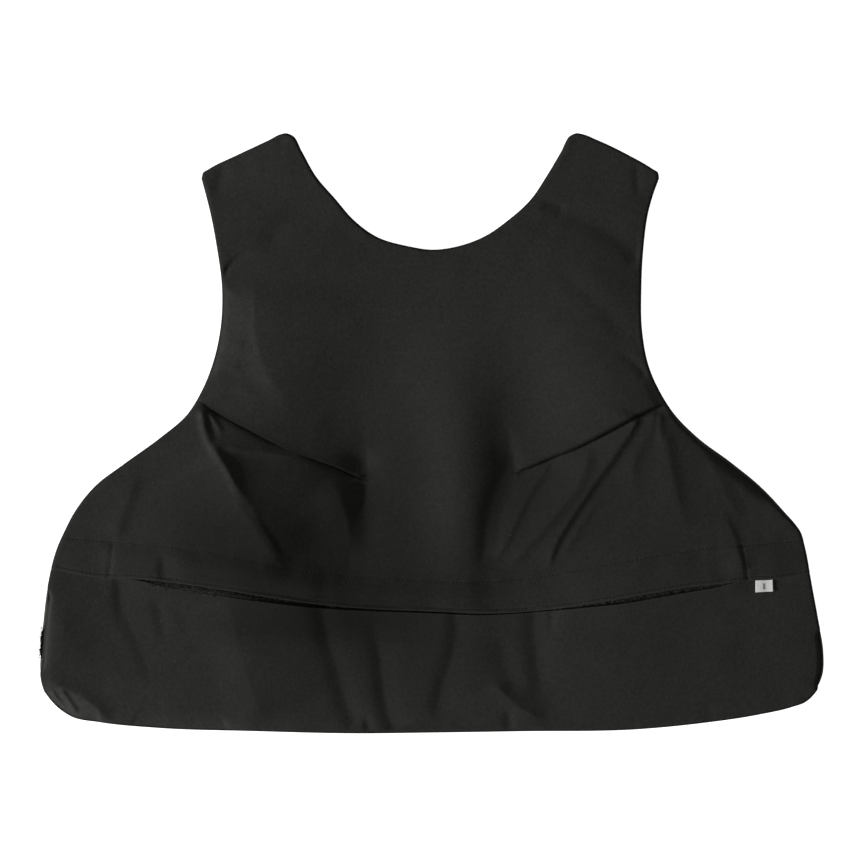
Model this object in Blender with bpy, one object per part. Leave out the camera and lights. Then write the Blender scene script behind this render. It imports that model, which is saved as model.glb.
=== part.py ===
"""Front panel of a soft armour vest, cut for a bust, lying on its strike side with the body side up.

Blender script, +Z up, +Y towards the neck, +X to the right of a viewer who looks down on the body side. The origin is the
middle of the panel's box on the surface that it lies on. Every table below is in millimetres, and MM turns the finished
points into metres. One plan of triangles, cut along the rim, the hem, the slot and the main folds, is shared by all the
layers, so that cloth, tape and pack lie an even gap apart.
"""

import bpy
import numpy as np
from mathutils.geometry import delaunay_2d_cdt

MM = 0.001

# Layers, from the surface up
CLOTH = 1.2
GAP = 0.3
TAPE = 1.0
FULL_THICKNESS = 9.0
RIM_REACH = 12.0
SEAM_HALF = CLOTH + GAP / 2

# Places measured from the hem's folded edge, up the panel
TAPE_ABOVE_EDGE = 14.0
TAPE_BELOW_SLOT = 5.0
RAMP = 5.0
SLOT_END_X = (-213.0, 209.0)
FACING_END_X = (-230.0, 231.0)

# Size label: left end, right end, height and how far it starts below the hem
LABEL = (216.0, 227.5, 7.0, 0.5)
LABEL_THICKNESS = 0.5
LABEL_GAP = 0.6

# End of fuzzy tape in the left side edge: lowest and highest y, thickness
EDGE_TAPE_Y = (-148.0, -131.0)
EDGE_TAPE_THICKNESS = 1.0

# Pack: how far its edge lies inside the seam
PACK_INSET = 3.5

# Plan: step along the rim, step of the seeds, inset of the ring where the rim's rounding ends
RIM_STEP = 16.0
SEED_STEP = 19.5
INNER_RING = 10.0
LINE_STEP = 17.0
SEED_CLEARANCE = 7.5
DART_PLAN_STEP = 13.0

# Rim, one row for each height on the panel: y, x of the left edge, x of the right edge
EDGE = (
    (-172.0, -258.0, 256.6),
    (-160.0, -260.6, 261.2),
    (-146.0, -260.4, 261.6),
    (-124.0, -258.6, 258.0),
    (-100.0, -255.2, 253.6),
    (-76.0, -249.0, 249.2),
    (-66.0, -244.6, 246.4),
    (-52.0, -237.2, 235.3),
    (-36.0, -224.6, 219.8),
    (-20.0, -203.8, 199.8),
    (-4.0, -181.2, 178.0),
    (12.0, -162.4, 162.0),
    (28.0, -152.4, 151.8),
    (44.0, -145.8, 144.8),
    (68.0, -140.2, 140.2),
    (96.0, -139.0, 139.8),
    (124.0, -142.6, 141.4),
    (148.0, -147.2, 144.8),
    (163.0, -151.0, 149.2),
    (170.0, -152.8, 151.8),
    (173.6, -151.8, 151.2),
    (176.2, -148.0, 147.6),
    (186.0, -128.2, 130.6),
    (196.0, -107.0, 109.6),
    (199.2, -100.6, 101.6),
    (200.0, -96.6, 97.0),
    (198.6, -92.6, 93.2),
    (188.0, -86.2, 86.9),
    (172.0, -77.2, 77.4),
    (156.0, -63.6, 66.6),
    (142.0, -51.4, 51.4),
    (131.0, -36.4, 35.4),
    (124.6, -15.4, 18.4),
)
NECK_LOW = (1.0, 122.2)

# Lower rim, left to right: x, y
BOTTOM = (
    (-252.6, -179.6),
    (-240.8, -188.4),
    (-220.6, -192.4),
    (-181.0, -196.2),
    (-120.0, -198.2),
    (-50.0, -199.8),
    (0.0, -199.3),
    (60.0, -198.4),
    (139.0, -196.9),
    (180.0, -193.0),
    (219.0, -187.2),
    (240.0, -182.4),
    (249.6, -178.8),
)

# Hem of the upper cover: x, y of its folded edge, y of its upper stitch row, how far the slot gapes under it
HEM = (
    (-262.0, -90.4, -68.4, 0.3),
    (-214.0, -95.0, -72.3, 0.3),
    (-184.7, -99.0, -74.4, 1.6),
    (-160.0, -102.0, -77.2, 4.0),
    (-141.3, -104.3, -79.7, 4.4),
    (-104.7, -109.7, -87.0, 3.4),
    (-71.3, -115.0, -93.7, 2.0),
    (-40.7, -117.7, -95.6, 1.3),
    (0.0, -119.0, -98.3, 0.4),
    (36.0, -119.7, -99.0, 0.3),
    (68.7, -119.3, -96.0, 0.5),
    (108.7, -114.3, -89.2, 2.8),
    (154.7, -105.7, -80.6, 2.9),
    (191.3, -99.7, -76.0, 1.2),
    (211.3, -96.3, -74.6, 0.3),
    (262.0, -93.9, -70.6, 0.3),
)

# Broad forms of the whole panel: name, centre x, centre y, half width x, half width y, height, flatness of the top
FORMS = (
    ("whole panel", 0.0, -10.0, 205.0, 150.0, 9.0, 2.5),
    ("left hollow", -38.0, -8.0, 48.0, 88.0, -9.5, 1.0),
    ("right hollow", 62.0, 2.0, 35.0, 62.0, -8.5, 1.0),
    ("left plateau", -128.0, -95.0, 78.0, 85.0, 6.0, 1.3),
    ("right chest", 103.0, 88.0, 52.0, 58.0, 3.5, 1.0),
    ("column between the cups", 23.0, -40.0, 19.0, 60.0, 4.5, 1.0),
    ("lower right", 128.0, -160.0, 60.0, 45.0, 3.0, 1.0),
    ("lower middle", 62.0, -108.0, 52.0, 50.0, -4.0, 1.0),
)

# Main folds of the whole panel, walked up the panel: name, points of the crest or valley, height, width on the left and
# on the right of the walk, how sharp the crest is, share of the length that fades in at the start and out at the end
MAIN_FOLDS = (
    (
        "left cup",
        ((-60, -128), (-55, -90), (-50, -55), (-47, -28), (-46, 4), (-48, 34)),
        -4.5, 30.0, 16.0, 0.4, 0.4, 0.4,
    ),
    (
        "left crest",
        ((-94, -90), (-106, -70), (-125, -38), (-144, -10), (-149, 6)),
        4.0, 30.0, 24.0, 0.8, 0.25, 0.15,
    ),
    (
        "right cup",
        ((31, -112), (35, -84), (37, -62), (39, -26), (36, 4), (31, 34)),
        -4.0, 13.0, 26.0, 0.3, 0.4, 0.4,
    ),
)

# Folds of the body-side cloth alone, lifted off the pack: the same columns
CLOTH_FOLDS = (
    ("left wing", ((-209, -76), (-206, -60), (-199, -38), (-192, -18)), 1.6, 6.0, 10.0, 0.3, 0.2, 0.4),
    ("right fan low", ((78, -92), (99, -58), (124, -14), (139, 12)), 2.0, 12.0, 7.0, 0.5, 0.2, 0.2),
    ("right fan high", ((134, -60), (138, -30), (147, 14)), 1.8, 12.0, 7.0, 0.5, 0.3, 0.2),
    ("right wing", ((204, -76), (193, -46), (180, -20), (156, 14)), 1.8, 12.0, 7.0, 0.5, 0.2, 0.2),
    ("under slot left", ((-62, -192), (-66, -160), (-76, -128)), 2.2, 10.0, 6.0, 0.4, 0.2, 0.3),
    ("under slot middle", ((2, -192), (8, -165), (13, -128)), 1.8, 10.0, 6.0, 0.4, 0.2, 0.3),
    ("under slot right", ((66, -186), (50, -158), (38, -130)), 2.0, 10.0, 7.0, 0.4, 0.2, 0.3),
)

# Stitched bust darts, walked from left to right: name, points, height of the lip above the line, reach of the lip, share
# of the length over which it fades in and out
DARTS = (
    ("left dart", ((-151, 20), (-138, 12), (-104, -6), (-75, -18), (-49, -28)), 2.0, 24.0, 0.1, 0.35),
    ("right dart", ((60, -25), (67, -22), (95, -10), (129, 6), (149, 17)), 2.0, 24.0, 0.35, 0.1),
)
DART_STEP_WIDTH = 1.6

# Flat landings on the strike side, where straps fasten and the panel rests: name, centre x, centre y, width, depth, turn
LANDINGS = (
    ("left shoulder", -119.0, 157.0, 36.0, 22.0, 27.0),
    ("right shoulder", 119.0, 157.0, 36.0, 22.0, -27.0),
    ("left side", -222.0, -120.0, 40.0, 50.0, 0.0),
    ("right side", 222.0, -122.0, 40.0, 50.0, 0.0),
)
LANDING_FADE = 20.0
TOUCH_DOWN = 4.0

# Finish of each piece: colour in linear light, roughness
FINISH = {
    "outer_cover": ((0.019, 0.019, 0.018), 0.86),
    "armour_pack": ((0.030, 0.030, 0.032), 0.60),
    "upper_cover": ((0.020, 0.020, 0.019), 0.84),
    "hem_facing": ((0.012, 0.012, 0.012), 0.90),
    "loop_tape": ((0.009, 0.009, 0.009), 0.97),
    "lower_cover": ((0.020, 0.020, 0.019), 0.84),
    "edge_tape": ((0.010, 0.010, 0.010), 0.97),
    "size_label": ((0.780, 0.775, 0.740), 0.78),
}


def clear_scene():
    for obj in list(bpy.data.objects):
        bpy.data.objects.remove(obj, do_unlink=True)


def material_for(name):
    colour, roughness = FINISH[name]
    made = bpy.data.materials.new(name)
    made.use_nodes = True
    shader = made.node_tree.nodes["Principled BSDF"]
    shader.inputs["Base Color"].default_value = (*colour, 1.0)
    shader.inputs["Roughness"].default_value = roughness
    shader.inputs["Metallic"].default_value = 0.0
    return made


def smooth_path(points, step):
    """A curve through the points, a Hermite cubic on each stretch, resampled at even steps of about this length."""
    knots = np.asarray(points, float)
    chord = np.linalg.norm(np.diff(knots, axis=0), axis=1)
    reach = np.concatenate([[0.0], np.cumsum(chord)])
    slope = np.gradient(knots, reach, axis=0, edge_order=1)
    s = np.linspace(0, 1, 24, endpoint=False)[None, :, None]
    start, end = knots[:-1, None], knots[1:, None]
    leave, arrive = slope[:-1, None], slope[1:, None]
    h = chord[:, None, None]
    curve = (
        (2 * s**3 - 3 * s**2 + 1) * start
        + (s**3 - 2 * s**2 + s) * h * leave
        + (3 * s**2 - 2 * s**3) * end
        + (s**3 - s**2) * h * arrive
    ).reshape(-1, 2)
    curve = np.vstack([curve, knots[-1:]])
    run = np.concatenate([[0.0], np.cumsum(np.linalg.norm(np.diff(curve, axis=0), axis=1))])
    count = max(2, round(run[-1] / step) + 1)
    at = np.linspace(0, run[-1], count)
    return np.stack([np.interp(at, run, curve[:, k]) for k in (0, 1)], axis=1)


def rim_loop(step):
    """The panel's outline, anticlockwise from its lower left corner. Tight corners keep their own rows as points."""
    right = [(row[2], row[0]) for row in EDGE]
    left = [(row[1], row[0]) for row in reversed(EDGE)]
    knots = [*BOTTOM, *right, NECK_LOW, *left, BOTTOM[0]]
    fine = smooth_path(knots, 1.0)
    ahead = np.roll(fine[:-1], -4, axis=0) - fine[:-1]
    behind = fine[:-1] - np.roll(fine[:-1], 4, axis=0)
    turn = np.abs(np.cross(ahead, behind)) / (
        np.linalg.norm(ahead, axis=1) * np.linalg.norm(behind, axis=1)
    )
    # The walk is quicker through straights and slower through corners.
    pace = 1 / step + 0.22 * np.clip(turn - 0.12, 0, 1)
    walked = np.concatenate([[0.0], np.cumsum(pace)])
    count = round(walked[-1])
    at = np.interp(np.linspace(0, walked[-1], count, endpoint=False), walked, np.arange(len(walked)))
    index = np.arange(len(fine))
    return np.stack([np.interp(at, index, fine[:, k]) for k in (0, 1)], axis=1)


def to_segments(points, starts, ends):
    """Distance from each point to the nearest of the straight pieces, its side and its share of the way along them."""
    best = np.full(len(points), np.inf)
    side = np.zeros(len(points))
    along = np.zeros(len(points))
    lengths = np.linalg.norm(ends - starts, axis=1)
    run = np.concatenate([[0.0], np.cumsum(lengths)])
    for start, end, length, before in zip(starts, ends, lengths, run):
        way = (end - start) / length
        rel = points - start
        t = np.clip(rel @ way, 0, length)
        off = rel - t[:, None] * way
        distance = np.hypot(off[:, 0], off[:, 1])
        closer = distance < best
        best[closer] = distance[closer]
        side[closer] = np.sign(way[0] * rel[closer, 1] - way[1] * rel[closer, 0])
        along[closer] = (before + t[closer]) / run[-1]
    return best, side, along


def near_curve(points, knots):
    curve = smooth_path(knots, 4.0)
    return to_segments(points, curve[:-1], curve[1:])


def ease(t):
    """Nothing below 0, one above 1, and a smooth turn between."""
    t = np.clip(t, 0, 1)
    return t * t * (3 - 2 * t)


def fold(points, knots, height, left, right, sharp, rise, fall):
    """A ridge, or a valley where the height is negative, with its own width on each side of the curve.

    Across the curve it is a mix of a bell, exp(-t^2), and of a sharp crest, exp(-1.3 t), where t is distance over width.
    """
    distance, side, along = near_curve(points, knots)
    t = distance / np.where(side > 0, left, right)
    across = (1 - sharp) * np.exp(-(t**2)) + sharp * np.exp(-1.3 * t)
    return height * across * ease(along / rise) * ease((1 - along) / fall)


def dart_lip(points, knots, height, reach, rise, fall):
    """The cloth folded down at a dart: full height on the left of the line, easing off over its reach."""
    distance, side, along = near_curve(points, knots)
    lip = np.clip(0.5 + side * distance / DART_STEP_WIDTH, 0, 1)
    return height * lip * np.exp(-((distance / reach) ** 2)) * ease(along / rise) * ease((1 - along) / fall)


def form(points, cx, cy, rx, ry, height, flatness):
    """A hill on an ellipse; a larger flatness gives it a broader top."""
    q = ((points[:, 0] - cx) / rx) ** 2 + ((points[:, 1] - cy) / ry) ** 2
    return height * np.exp(-(q**flatness))


def on_landing(points, cx, cy, width, depth, turn):
    """One on the landing's rectangle, easing to nothing over LANDING_FADE around it."""
    a = np.radians(turn)
    rel = points - (cx, cy)
    u = np.abs(rel[:, 0] * np.cos(a) + rel[:, 1] * np.sin(a)) - width / 2
    v = np.abs(rel[:, 1] * np.cos(a) - rel[:, 0] * np.sin(a)) - depth / 2
    outside = np.hypot(np.maximum(u, 0), np.maximum(v, 0))
    return 1 - ease((outside - 0.5) / LANDING_FADE)


def lying_height(points):
    """How far the strike side is above the surface: forms and main folds, flat where the panel touches down.

    Within TOUCH_DOWN of the surface the height bends onto it as a parabola.
    """
    z = sum(form(points, *row[1:]) for row in FORMS)
    z = z + sum(fold(points, *row[1:]) for row in MAIN_FOLDS)
    for row in LANDINGS:
        z = z - 2 * TOUCH_DOWN * on_landing(points, *row[1:])
    bend = (np.clip(z, -TOUCH_DOWN, TOUCH_DOWN) + TOUCH_DOWN) ** 2 / (4 * TOUCH_DOWN)
    return np.maximum(bend, z)


def hem_at(x, column):
    """A column of the hem's table at each x, on a smooth curve through its rows."""
    table = np.array(HEM)
    curve = smooth_path(table[:, [0, column]], 4.0)
    return np.interp(x, curve[:, 0], curve[:, 1])


def hem_edge(x):
    return hem_at(x, 1)


def stitch_row(x):
    return hem_at(x, 2)


def slot_edge(x):
    """Upper edge of the lower cover."""
    return hem_edge(x) - np.maximum(hem_at(x, 3), GAP)


def tape_lift(points):
    """How far the loop tape raises the cloth over it."""
    x, y = points.T
    across = ease((x - SLOT_END_X[0] + RAMP) / RAMP) * ease((SLOT_END_X[1] + RAMP - x) / RAMP)
    below = ease((y - slot_edge(x) + TAPE_BELOW_SLOT + RAMP) / RAMP)
    above = ease((hem_edge(x) + TAPE_ABOVE_EDGE + RAMP - y) / RAMP)
    return (TAPE + GAP) * across * below * above


def facing_lift(points):
    """How far the hem's facing raises the upper cover over it."""
    x, y = points.T
    across = ease((x - FACING_END_X[0] + RAMP) / RAMP) * ease((FACING_END_X[1] + RAMP - x) / RAMP)
    return (TAPE + GAP) * across * ease((stitch_row(x) + RAMP - y) / RAMP)


class Plan:
    """One set of triangles over the panel, with the heights of every layer at its corners."""

    def __init__(self):
        self.rim = rim_loop(RIM_STEP)
        self.lines = self.cut_lines()
        self.points, self.faces = self.triangulate()
        inset, _, _ = to_segments(self.points, self.rim, np.roll(self.rim, -1, axis=0))
        self.inset = np.where(inset < 0.02, 0.0, inset)
        self.set_heights()

    def ring(self, distance):
        """The rim moved inwards, without the points that a tight corner would cross over."""
        tangent = np.roll(self.rim, -1, axis=0) - np.roll(self.rim, 1, axis=0)
        tangent /= np.linalg.norm(tangent, axis=1, keepdims=True)
        moved = self.rim + distance * np.stack([-tangent[:, 1], tangent[:, 0]], axis=1)
        away, _, _ = to_segments(moved, self.rim, np.roll(self.rim, -1, axis=0))
        return moved[away > 0.93 * distance]

    def cut_lines(self):
        """The lines that the triangles follow, each a run of points."""
        x = np.linspace(-266, 266, round(532 / LINE_STEP) + 1)
        edge = np.stack([x, hem_edge(x)], axis=1)
        slot = np.stack([x, slot_edge(x)], axis=1)
        stitches = np.stack([x, stitch_row(x)], axis=1)
        within = x[(x > SLOT_END_X[0]) & (x < SLOT_END_X[1])]
        within = np.concatenate([[SLOT_END_X[0]], within[1:-1], [SLOT_END_X[1]]])
        tape_top = np.stack([within, hem_edge(within) + TAPE_ABOVE_EDGE], axis=1)
        tape_low = np.stack([within, slot_edge(within) - TAPE_BELOW_SLOT], axis=1)
        tape_ends = [np.array([low, top]) for low, top in zip(tape_low[[0, -1]], tape_top[[0, -1]])]
        facing_ends = [np.array([(x, hem_edge(x)), (x, stitch_row(x))]) for x in FACING_END_X]
        lines = [edge, slot, stitches, tape_top, tape_low, *tape_ends, *facing_ends]
        for row in DARTS:
            middle = smooth_path(row[1], DART_PLAN_STEP)
            way = np.gradient(middle, axis=0)
            way /= np.linalg.norm(way, axis=1, keepdims=True)
            across = np.stack([-way[:, 1], way[:, 0]], axis=1) * DART_STEP_WIDTH / 2
            lines += [middle + across, middle - across]
        for row in (*MAIN_FOLDS, *CLOTH_FOLDS):
            lines.append(smooth_path(row[1], LINE_STEP))
        for _, cx, cy, width, depth, turn in LANDINGS:
            a = np.radians(turn)
            corners = np.array([(-1, -1), (1, -1), (1, 1), (-1, 1), (-1, -1)]) / 2 * (width, depth)
            spin = np.array([(np.cos(a), np.sin(a)), (-np.sin(a), np.cos(a))])
            lines.append(corners @ spin + (cx, cy))
        return lines

    def seeds(self):
        """Points on a triangular lattice, clear of the rim and of every line."""
        rows = np.arange(-210, 210, SEED_STEP * np.sqrt(3) / 2)
        lattice = np.concatenate(
            [
                np.stack([np.arange(-270 + (i % 2) * SEED_STEP / 2, 270, SEED_STEP), np.full_like(
                    np.arange(-270 + (i % 2) * SEED_STEP / 2, 270, SEED_STEP), y)], axis=1)
                for i, y in enumerate(rows)
            ]
        )
        away, side, _ = to_segments(lattice, self.rim, np.roll(self.rim, -1, axis=0))
        keep = (side > 0) & (away > INNER_RING + SEED_CLEARANCE)
        for line in self.lines:
            keep &= to_segments(lattice, line[:-1], line[1:])[0] > SEED_CLEARANCE
        return lattice[keep]

    def triangulate(self):
        pack_ring = self.ring(PACK_INSET)
        inner_ring = self.ring(INNER_RING)
        clear = np.ones(len(inner_ring), bool)
        for line in self.lines:
            clear &= to_segments(inner_ring, line[:-1], line[1:])[0] > SEED_CLEARANCE / 2
        groups = [self.rim, pack_ring, *self.lines, inner_ring[clear], self.seeds()]
        starts = np.concatenate([[0], np.cumsum([len(g) for g in groups])])
        edges = []
        rim_count, ring_start, ring_count = len(self.rim), starts[1], len(pack_ring)
        edges += [(ring_start + i, ring_start + (i + 1) % ring_count) for i in range(ring_count)]
        for line, start in zip(self.lines, starts[2:]):
            edges += [(start + i, start + i + 1) for i in range(len(line) - 1)]
        made = delaunay_2d_cdt(
            [tuple(p) for p in np.concatenate(groups)],
            [(int(a), int(b)) for a, b in edges],
            [list(range(rim_count))],
            1,
            1e-4,
            False,
        )
        self.pack_loop = pack_ring
        points = np.array([tuple(p) for p in made[0]])
        faces = np.array([tuple(f) for f in made[2]])
        return points, faces[inside_loop(*points[faces].mean(axis=1).T, self.rim)]

    def set_heights(self):
        """Heights of each layer's faces, with the rim rounded as a quarter ellipse from the seam to full thickness."""
        round_in = np.clip(1 - self.inset / RIM_REACH, 0, 1)
        half = SEAM_HALF + (FULL_THICKNESS / 2 - SEAM_HALF) * np.sqrt(1 - round_in**2)
        middle = lying_height(self.points) + FULL_THICKNESS / 2
        self.outer_low = middle - half
        self.outer_high = self.outer_low + CLOTH
        self.pack_low = self.outer_high + GAP
        cover_low = middle + half - CLOTH
        self.pack_high = cover_low - GAP
        # Folds and lips die out towards the seam, and lifts come to nothing at it.
        inner = ease(self.inset / RIM_REACH)
        over_tape = tape_lift(self.points) * inner
        over_facing = facing_lift(self.points) * inner
        folds = sum(fold(self.points, *row[1:]) for row in CLOTH_FOLDS) * inner
        lips = sum(dart_lip(self.points, *row[1:]) for row in DARTS) * inner
        self.tape_low = cover_low
        self.facing_low = cover_low + over_tape
        self.upper_low = cover_low + over_tape + over_facing + folds + lips
        self.lower_low = cover_low + over_tape + folds

    def where(self, test):
        """The triangles whose middles pass the test."""
        middles = self.points[self.faces].mean(axis=1)
        return self.faces[test(*middles.T)]

    def height_over(self, places, heights):
        """Height of a layer at other places, read from the triangle that each lies in."""
        a, b, c = (self.points[self.faces[:, k]] for k in range(3))
        out = []
        for p in places:
            area = np.cross(b - a, c - a)
            u = np.cross(p - a, c - a) / area
            v = np.cross(b - a, p - a) / area
            i = np.argmax(np.minimum(np.minimum(u, v), 1 - u - v))
            corners = heights[self.faces[i]]
            out.append(corners[0] * (1 - u[i] - v[i]) + corners[1] * u[i] + corners[2] * v[i])
        return np.array(out)


def inside_loop(x, y, loop):
    """Even-odd test of places against a closed loop."""
    x1, y1 = loop.T
    x2, y2 = np.roll(loop, -1, axis=0).T
    spans = (y1[None] > y[:, None]) != (y2[None] > y[:, None])
    with np.errstate(divide="ignore", invalid="ignore"):
        cross_x = x1 + (y[:, None] - y1) * (x2 - x1) / (y2 - y1)
    return (spans & (x[:, None] < cross_x)).sum(axis=1) % 2 == 1


def add_object(name, vertices, faces):
    mesh = bpy.data.meshes.new(name)
    mesh.from_pydata([tuple(v) for v in np.asarray(vertices) * MM], [], [tuple(map(int, f)) for f in faces])
    mesh.materials.append(material_for(name))
    mesh.shade_smooth()
    mesh.set_sharp_from_angle(angle=np.radians(40))
    mesh.update()
    obj = bpy.data.objects.new(name, mesh)
    bpy.context.scene.collection.objects.link(obj)
    return obj


def layer(name, points, faces, low, high):
    """A closed solid between two heights over a set of plan triangles, with a wall round its edge."""
    used = np.unique(faces)
    renumber = np.zeros(len(points), int)
    renumber[used] = np.arange(len(used))
    top = renumber[faces]
    a, b, c = points[faces[:, 0]], points[faces[:, 1]], points[faces[:, 2]]
    backwards = np.cross(b - a, c - a) < 0
    top[backwards] = top[backwards][:, ::-1]
    directed = np.concatenate([top[:, [0, 1]], top[:, [1, 2]], top[:, [2, 0]]])
    present = set(map(tuple, directed.tolist()))
    rim = [(i, j) for i, j in present if (j, i) not in present]
    count = len(used)
    walls = [tri for i, j in sorted(rim) for tri in ((j, i, i + count), (j, i + count, j + count))]
    vertices = np.vstack(
        [np.column_stack([points[used], high[used]]), np.column_stack([points[used], low[used]])]
    )
    return add_object(name, vertices, np.vstack([top, top[:, ::-1] + count, walls]))


def make_covers_and_pack(plan):
    layer("outer_cover", plan.points, plan.faces, plan.outer_low, plan.outer_high)
    pack = plan.where(lambda x, y: inside_loop(x, y, plan.pack_loop))
    layer("armour_pack", plan.points, pack, plan.pack_low, plan.pack_high)
    upper = plan.where(lambda x, y: y > hem_edge(x))
    layer("upper_cover", plan.points, upper, plan.upper_low, plan.upper_low + CLOTH)
    lower = plan.where(lambda x, y: y < slot_edge(x))
    layer("lower_cover", plan.points, lower, plan.lower_low, plan.lower_low + CLOTH)


def make_tapes(plan):
    def on_tape(x, y):
        along = (x > SLOT_END_X[0]) & (x < SLOT_END_X[1])
        return along & (y > slot_edge(x) - TAPE_BELOW_SLOT) & (y < hem_edge(x) + TAPE_ABOVE_EDGE)

    layer("loop_tape", plan.points, plan.where(on_tape), plan.tape_low, plan.tape_low + TAPE)

    def on_facing(x, y):
        along = (x > FACING_END_X[0]) & (x < FACING_END_X[1])
        return along & (y > hem_edge(x)) & (y < stitch_row(x))

    layer("hem_facing", plan.points, plan.where(on_facing), plan.facing_low, plan.facing_low + TAPE)


def make_label(plan):
    """A small woven tab on the lower cover, its upper end against the hem."""
    left, right, height, below = LABEL
    x, t = np.meshgrid(np.linspace(left, right, 4), np.linspace(0, 1, 4))
    y = slot_edge(x) - below - height * (1 - t)
    places = np.stack([x.ravel(), y.ravel()], axis=1)
    base = plan.height_over(places, plan.lower_low) + CLOTH + LABEL_GAP
    index = np.arange(16).reshape(4, 4)
    quads = [index[:-1, :-1], index[:-1, 1:], index[1:, 1:], index[1:, :-1]]
    a, b, c, d = (q.ravel() for q in quads)
    faces = np.vstack([np.stack([a, b, c], axis=1), np.stack([a, c, d], axis=1)])
    layer("size_label", places, faces, base, base + LABEL_THICKNESS)


def make_edge_tape(plan):
    """The end of a fuzzy tape caught in the left side edge, just outside the rim."""
    low_y, high_y = EDGE_TAPE_Y
    y = np.linspace(low_y, high_y, 5)
    left = np.array([(row[1], row[0]) for row in EDGE])
    curve = smooth_path(left, 2.0)
    order = np.argsort(curve[:, 1])
    x = np.interp(y, curve[order, 1], curve[order, 0]) - GAP
    inner = np.stack([x, y], axis=1)
    outer = np.stack([x - EDGE_TAPE_THICKNESS, y], axis=1)
    points = np.vstack([inner, outer])
    i = np.arange(len(y) - 1)
    n = len(y)
    faces = np.vstack([np.stack([i, i + 1, i + n], axis=1), np.stack([i + 1, i + n + 1, i + n], axis=1)])
    middle = FULL_THICKNESS / 2
    low = np.full(len(points), middle - SEAM_HALF)
    layer("edge_tape", points, faces, low, low + 2 * SEAM_HALF)


def main():
    clear_scene()
    plan = Plan()
    make_covers_and_pack(plan)
    make_tapes(plan)
    make_label(plan)
    make_edge_tape(plan)


main()
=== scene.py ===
"""Looks of a soft armour vest's front panel, lying flat with its body side up.

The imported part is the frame. Here each cloth is one sheet worked out on a grid, with its folds, darts, turned hem and
seams, and the tape, thread and label are modelled on it. Tables are in millimetres in the part's frame, apart from the
fold tables, whose points are in pixels of the picture that the panel was measured from; on_panel turns them into
millimetres. MM turns the finished points into metres.
"""

import bpy
import numpy as np
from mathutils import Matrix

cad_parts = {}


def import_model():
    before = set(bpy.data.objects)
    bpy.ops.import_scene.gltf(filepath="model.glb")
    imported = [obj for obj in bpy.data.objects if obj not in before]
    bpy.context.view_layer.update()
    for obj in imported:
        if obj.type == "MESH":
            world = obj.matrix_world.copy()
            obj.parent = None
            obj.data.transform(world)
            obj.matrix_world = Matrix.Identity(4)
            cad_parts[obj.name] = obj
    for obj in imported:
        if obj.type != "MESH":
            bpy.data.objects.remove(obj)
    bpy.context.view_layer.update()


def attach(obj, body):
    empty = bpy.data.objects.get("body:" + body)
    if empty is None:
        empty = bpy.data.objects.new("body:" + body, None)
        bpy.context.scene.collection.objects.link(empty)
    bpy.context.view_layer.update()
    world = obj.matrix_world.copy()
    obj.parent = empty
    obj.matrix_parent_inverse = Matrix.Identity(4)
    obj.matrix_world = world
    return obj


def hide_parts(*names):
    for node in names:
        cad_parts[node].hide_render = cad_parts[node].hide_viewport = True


MM = 0.001

# Picture scale: pixel of the panel's middle, millimetres in one pixel
MIDDLE_PIXEL = (431.0, 433.5)
PIXEL = 2 / 3

# Layers of the panel: thickness of the cloth, of the space between two layers, of the tape and of the whole panel, and
# half the thickness of the seam
CLOTH = 1.2
GAP = 0.3
TAPE = 1.0
FULL_THICKNESS = 9.0
SEAM_HALF = CLOTH + GAP / 2

# Rim: how far in its rounding reaches, how square that is, how round a wide slope is, how far in a steep edge reaches,
# how far in the tape's lift and the cloth's folds fade out, and how far in distances to the rim are worked out
RIM_REACH = 12.0
RIM_SQUARE = 18.0
WIDE_ROUND = 2.0
STEEP_REACH = 2.8
TAPE_FADE = 30.0
FOLD_REACH = 5.0
FAR_FROM_RIM = 60.0

# Table: forms lower than this bend onto it, and a landing eases out over this
TOUCH_DOWN = 4.0
LANDING_FADE = 20.0

# Hem, tape and slot, measured as in the part: the tape's reach above the hem's edge and below the slot, the ramp over
# the facing's edge, the slot's two ends, and how far the lower stitch row lies above the hem's edge
TAPE_ABOVE_EDGE = 14.0
TAPE_BELOW_SLOT = 5.0
RAMP = 8.0
SLOT_END_X = (-213.0, 209.0)
EDGE_ROW_ABOVE = 1.9

# Soft ramps of the cloth over the tape: below the slot, above the stitch row, and past each end
RAMP_BELOW = 18.0
RAMP_ABOVE = 12.0
RAMP_ENDS = 9.0

# Depth and width of the groove that the thread pulls: in the upper row, in the lower row, and in a tack
UPPER_GROOVE = (0.22, 0.8)
LOWER_GROOVE = (0.35, 0.8)
TACK_GROOVE = (0.7, 1.0)

# Unevenness, as height: of the cloth in two sizes, of the seam, of the band, beside the upper stitch row, of the strike
# cloth, and of the pile in two sizes
SLACK = (0.30, 0.12)
PUCKER = 0.25
BAND_WAVE = 0.30
ROW_PUCKER = 0.20
STRIKE_WAVE = 0.25
PILE_ROUGH = (0.34, 0.18)

# The lips of the slot stand up by these shares of its gape: the lower cover's edge, and the hem's
LOWER_LIP = 0.14
HEM_LIP = 0.10

# In the slot the tape swells up by this at the left and sinks by this at the right
TAPE_SWELL = 1.9
TAPE_SUNK = 0.9

# How far the seam lies lower where the strike cloth's edge shows, and how far that edge curls up
SHOWING_DROP = 0.6
SHOWING_CURL = 0.35

# Least width of the dark line under the hem
LEAST_GAPE = 0.6

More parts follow.
